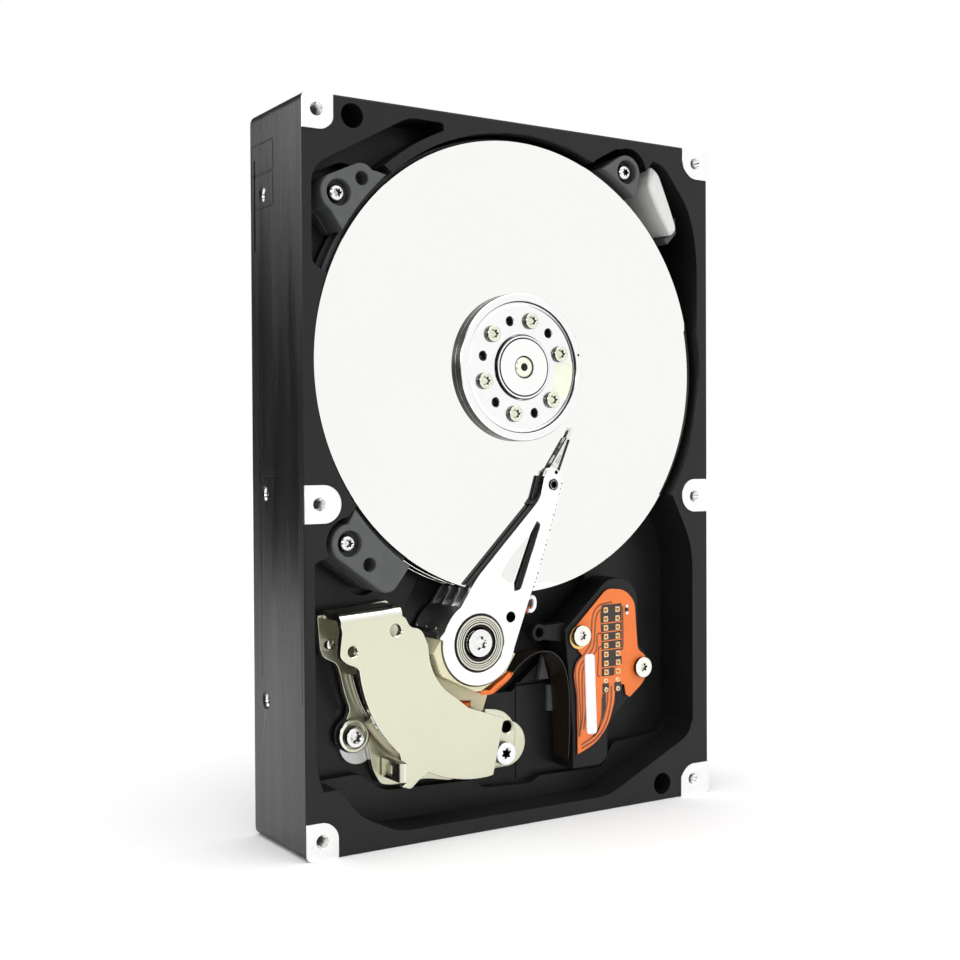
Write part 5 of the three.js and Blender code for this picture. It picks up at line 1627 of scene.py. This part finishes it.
def small_parts():
    """Capacitors and resistors with their soldered ends."""
    bodies, ends, blacks = [], [], []
    rows = [(-40, 30, 0, 2.4, 6), (-38, 50, 0, 2.6, 5), (28, 26, 0, 2.4, 6), (-4, 26, 1, 2.2, 4),
            (12, 28, 0, 2.2, 4), (32, 52, 0, 2.6, 5), (-30, 62, 1, 2.4, 5), (-40, 16, 1, 2.4, 6)]
    for row, (x, z, along, pitch, count) in enumerate(rows):
        for i in range(count):
            at_x, at_z = (x + pitch * i, z) if along else (x, z + pitch * i)
            half_long, half_wide = (0.45, 0.8) if along else (0.8, 0.45)
            tall = 0.5 + 0.15 * ((row + i) % 3)
            target = bodies if (row + i) % 2 else blacks
            outline = rectangle(at_x - half_long, at_x + half_long, at_z - half_wide, at_z + half_wide, 0.08)
            target.append(plate(outline, BOARD_BACK + 0.02, BOARD_BACK + tall, edge=0.06))
            for side in (-1, 1):
                dx, dz = (0, side * half_wide * 0.85) if along else (side * half_long * 0.85, 0)
                wide, high = (half_long + 0.06, 0.24) if along else (0.24, half_wide + 0.06)
                end_x, end_z = at_x + dx, at_z + dz
                outline = rectangle(end_x - wide, end_x + wide, end_z - high, end_z + high, 0.08)
                ends.append(plate(outline, BOARD_BACK, BOARD_BACK + tall + 0.05, edge=0.08))
    coil_can = plate(rectangle(30, 36, 40, 46, 1.2), BOARD_BACK, BOARD_BACK + 2.2, edge=0.35, steps=4)
    crystal = plate(slot((-36, 42), (-30, 42), 1.6), BOARD_BACK, BOARD_BACK + 1.4, edge=0.3, steps=4)
    piece("capacitors", "base", ceramic, "cream_plastic", *bodies)
    piece("resistors", "base", epoxy, "chip_black", *blacks, coil_can)
    piece("soldered_ends", "base", solder, "steel", *ends, crystal)


def sata_connector():
    (low_x, low_z), (high_x, high_z) = corners_of("sata_connector")
    front, back = depths("sata_connector")
    outline = rounded([(low_x, low_z, 0.3), (high_x, low_z, 0.3), (high_x, high_z, 0.8),
                       (low_x, high_z, 0.8)])
    shell = plate(outline, front, back, edge=0.2)
    mouths = []
    for x0, x1 in ((-31.4, -10.4), (-7.2, 3.2)):
        mouths.append(plate(rectangle(x0, x1, low_z - 1, 6.6, 0.2), 21.8, 23.6, edge=0.1))
        mouths.append(plate(rectangle(x0, x0 + 1.2, low_z - 1, 6.6, 0.1), 21.3, 22.2, edge=0))
    windows = [plate(rectangle(x, x + 1.6, 3.4, 5.2, 0.3), 23.9, 26, edge=0) for x in (-26, -16, -4)]
    piece("drive_plug", "base", connector_plastic, "chip_black", combined(shell, [*mouths, *windows]),
          nodes=["sata_connector"])
    tongues, contacts = [], []
    for x0, x1, count in ((-30.4, -11.4, 15), (-6.2, 2.2, 7)):
        tongues.append(plate(rectangle(x0, x1, 0.8, 7, 0.3), 22.75, 23.3, edge=0.08))
        pitch = (x1 - x0 - 0.8) / (count - 1)
        for i in range(count):
            x = x0 + 0.4 + pitch * i
            start = 1.0 + 0.5 * (i % 3 == 1)
            contacts.append(plate(rectangle(x - 0.3, x + 0.3, start, 6.8, 0.1), 22.62, 22.8, edge=0.04))
            contacts.append(plate(rectangle(x - 0.2, x + 0.2, high_z - 0.2, high_z + 1.6, 0.08),
                                  BOARD_BACK + 0.02, BOARD_BACK + 0.3, edge=0.05))
    piece("plug_tongues", "base", connector_plastic, "chip_black", *tongues)
    piece("plug_contacts", "base", gold_plate, "gold", *contacts)


def board_screws():
    """Screws put in from behind, so their tops face away from the open side."""
    screw = torx_screw(2.4, 1.0, 1.2, 5.6, 1.15, dome=0.3, bowl=0.1)
    for i in range(1, 5):
        x, z = middle(f"board_screw_{i}")
        top = depths(f"board_screw_{i}")[1]
        turned_round = placed(screw, lambda a, b, c: (x - a, top - b, z + c))
        item = piece(f"board_bolt_{i}", "base", screw_steel, "steel", turned_round,
                     nodes=[f"board_screw_{i}"])
        # Painted shade in the recess.
        refinished(item, painted_shade_metal, lambda normal, at: math.dist((at[0], at[2]), (x, z)) < 1.22
                   and at[1] < top - 0.2)


board()
traces()
chip("controller", "controller_chip", ("low", "right", "high", "left"))
chip("memory", "memory_chip", ("low", "high"))
chip("motor_driver", "motor_driver_chip", ("right", "left"))
small_parts()
sata_connector()
board_screws()


# ---------------------------------------------------------------- camera, light and floor

CAMERA_AT = Vector((-0.16311, -0.24998, 0.07722))
CAMERA_YAW = 0.5687
CAMERA_PITCH = -0.0163
CAMERA_ROLL = -0.0049
CAMERA_LENS = 51.57
WALL_TOWARDS = (0.54, -0.84, 0)
DIM_WALL = 0.045
BRIGHT_WALL = 1.05
STRIP = 4.5
LAMP = 1.8


def camera():
    yaw, pitch, roll = CAMERA_YAW, CAMERA_PITCH, CAMERA_ROLL
    ahead = Vector((math.sin(yaw) * math.cos(pitch), math.cos(yaw) * math.cos(pitch), math.sin(pitch)))
    level = Vector((math.cos(yaw), -math.sin(yaw), 0))
    upright = level.cross(ahead)
    right = level * math.cos(roll) + upright * math.sin(roll)
    up = upright * math.cos(roll) - level * math.sin(roll)
    lens = bpy.data.cameras.new("camera")
    lens.sensor_width = 36
    lens.lens = CAMERA_LENS
    lens.clip_start = 0.01
    item = bpy.data.objects.new("camera", lens)
    bpy.context.scene.collection.objects.link(item)
    turn = Matrix((right, up, -ahead)).transposed()
    item.matrix_world = Matrix.Translation(CAMERA_AT) @ turn.to_4x4()
    bpy.context.scene.camera = item


def studio_light():
    """A bright wall that the disks mirror, a strip at the left, a lamp above, and white for the camera."""
    world = bpy.data.worlds.new("studio")
    world.use_nodes = True
    bpy.context.scene.world = world
    nodes, links = world.node_tree.nodes, world.node_tree.links
    background = nodes["Background"]
    background.inputs["Color"].default_value = (1, 1, 1, 1)
    direction = nodes.new("ShaderNodeTexCoord").outputs["Generated"]
    split = nodes.new("ShaderNodeSeparateXYZ")
    links.new(direction, split.inputs["Vector"])
    facing = nodes.new("ShaderNodeVectorMath")
    facing.operation = "DOT_PRODUCT"
    facing.inputs[1].default_value = WALL_TOWARDS
    links.new(direction, facing.inputs[0])

    def ramp(source, low, high, start, end):
        node = nodes.new("ShaderNodeMapRange")
        node.interpolation_type = "SMOOTHSTEP"
        node.inputs["From Min"].default_value = low
        node.inputs["From Max"].default_value = high
        node.inputs["To Min"].default_value = start
        node.inputs["To Max"].default_value = end
        links.new(source, node.inputs["Value"])
        return node.outputs["Result"]

    def joined(operation, first, second):
        node = nodes.new("ShaderNodeMath")
        node.operation = operation
        links.new(first, node.inputs[0])
        links.new(second, node.inputs[1])
        return node.outputs["Value"]

    lamp = ramp(split.outputs["Z"], 0.55, 0.9, 0.0, LAMP)
    wall = ramp(facing.outputs["Value"], 0.15, 0.6, DIM_WALL, BRIGHT_WALL)
    strip = joined("MULTIPLY", ramp(split.outputs["Z"], 0.12, 0.24, 0.0, STRIP),
                   ramp(split.outputs["Z"], 0.3, 0.42, 1.0, 0.0))
    strip = joined("MULTIPLY", strip, ramp(split.outputs["X"], -0.4, -0.5, 0.0, 1.0))
    walls = joined("ADD", wall, strip)
    direct = nodes.new("ShaderNodeLightPath").outputs["Is Camera Ray"]
    links.new(joined("MAXIMUM", joined("ADD", lamp, walls), direct), background.inputs["Strength"])


def floor():
    """White, and cut off at the left and in front, where the dim surround shows from below."""
    size = 4
    near_edge = -0.45
    left_edge = -0.27
    corners = [(left_edge, near_edge, 0), (size, near_edge, 0), (size, size, 0), (left_edge, size, 0)]
    mesh = bpy.data.meshes.new("floor")
    mesh.from_pydata(corners, [], [(0, 1, 2, 3)])
    mesh.materials.append(new_finish("floor_white", (0.9, 0.9, 0.9), 0.6, bumps=[(3, 0.01)],
                                     Specular_IOR_Level=0.0))
    item = bpy.data.objects.new("floor", mesh)
    bpy.context.scene.collection.objects.link(item)


camera()
studio_light()
floor()
bpy.context.scene.view_settings.view_transform = "Standard"
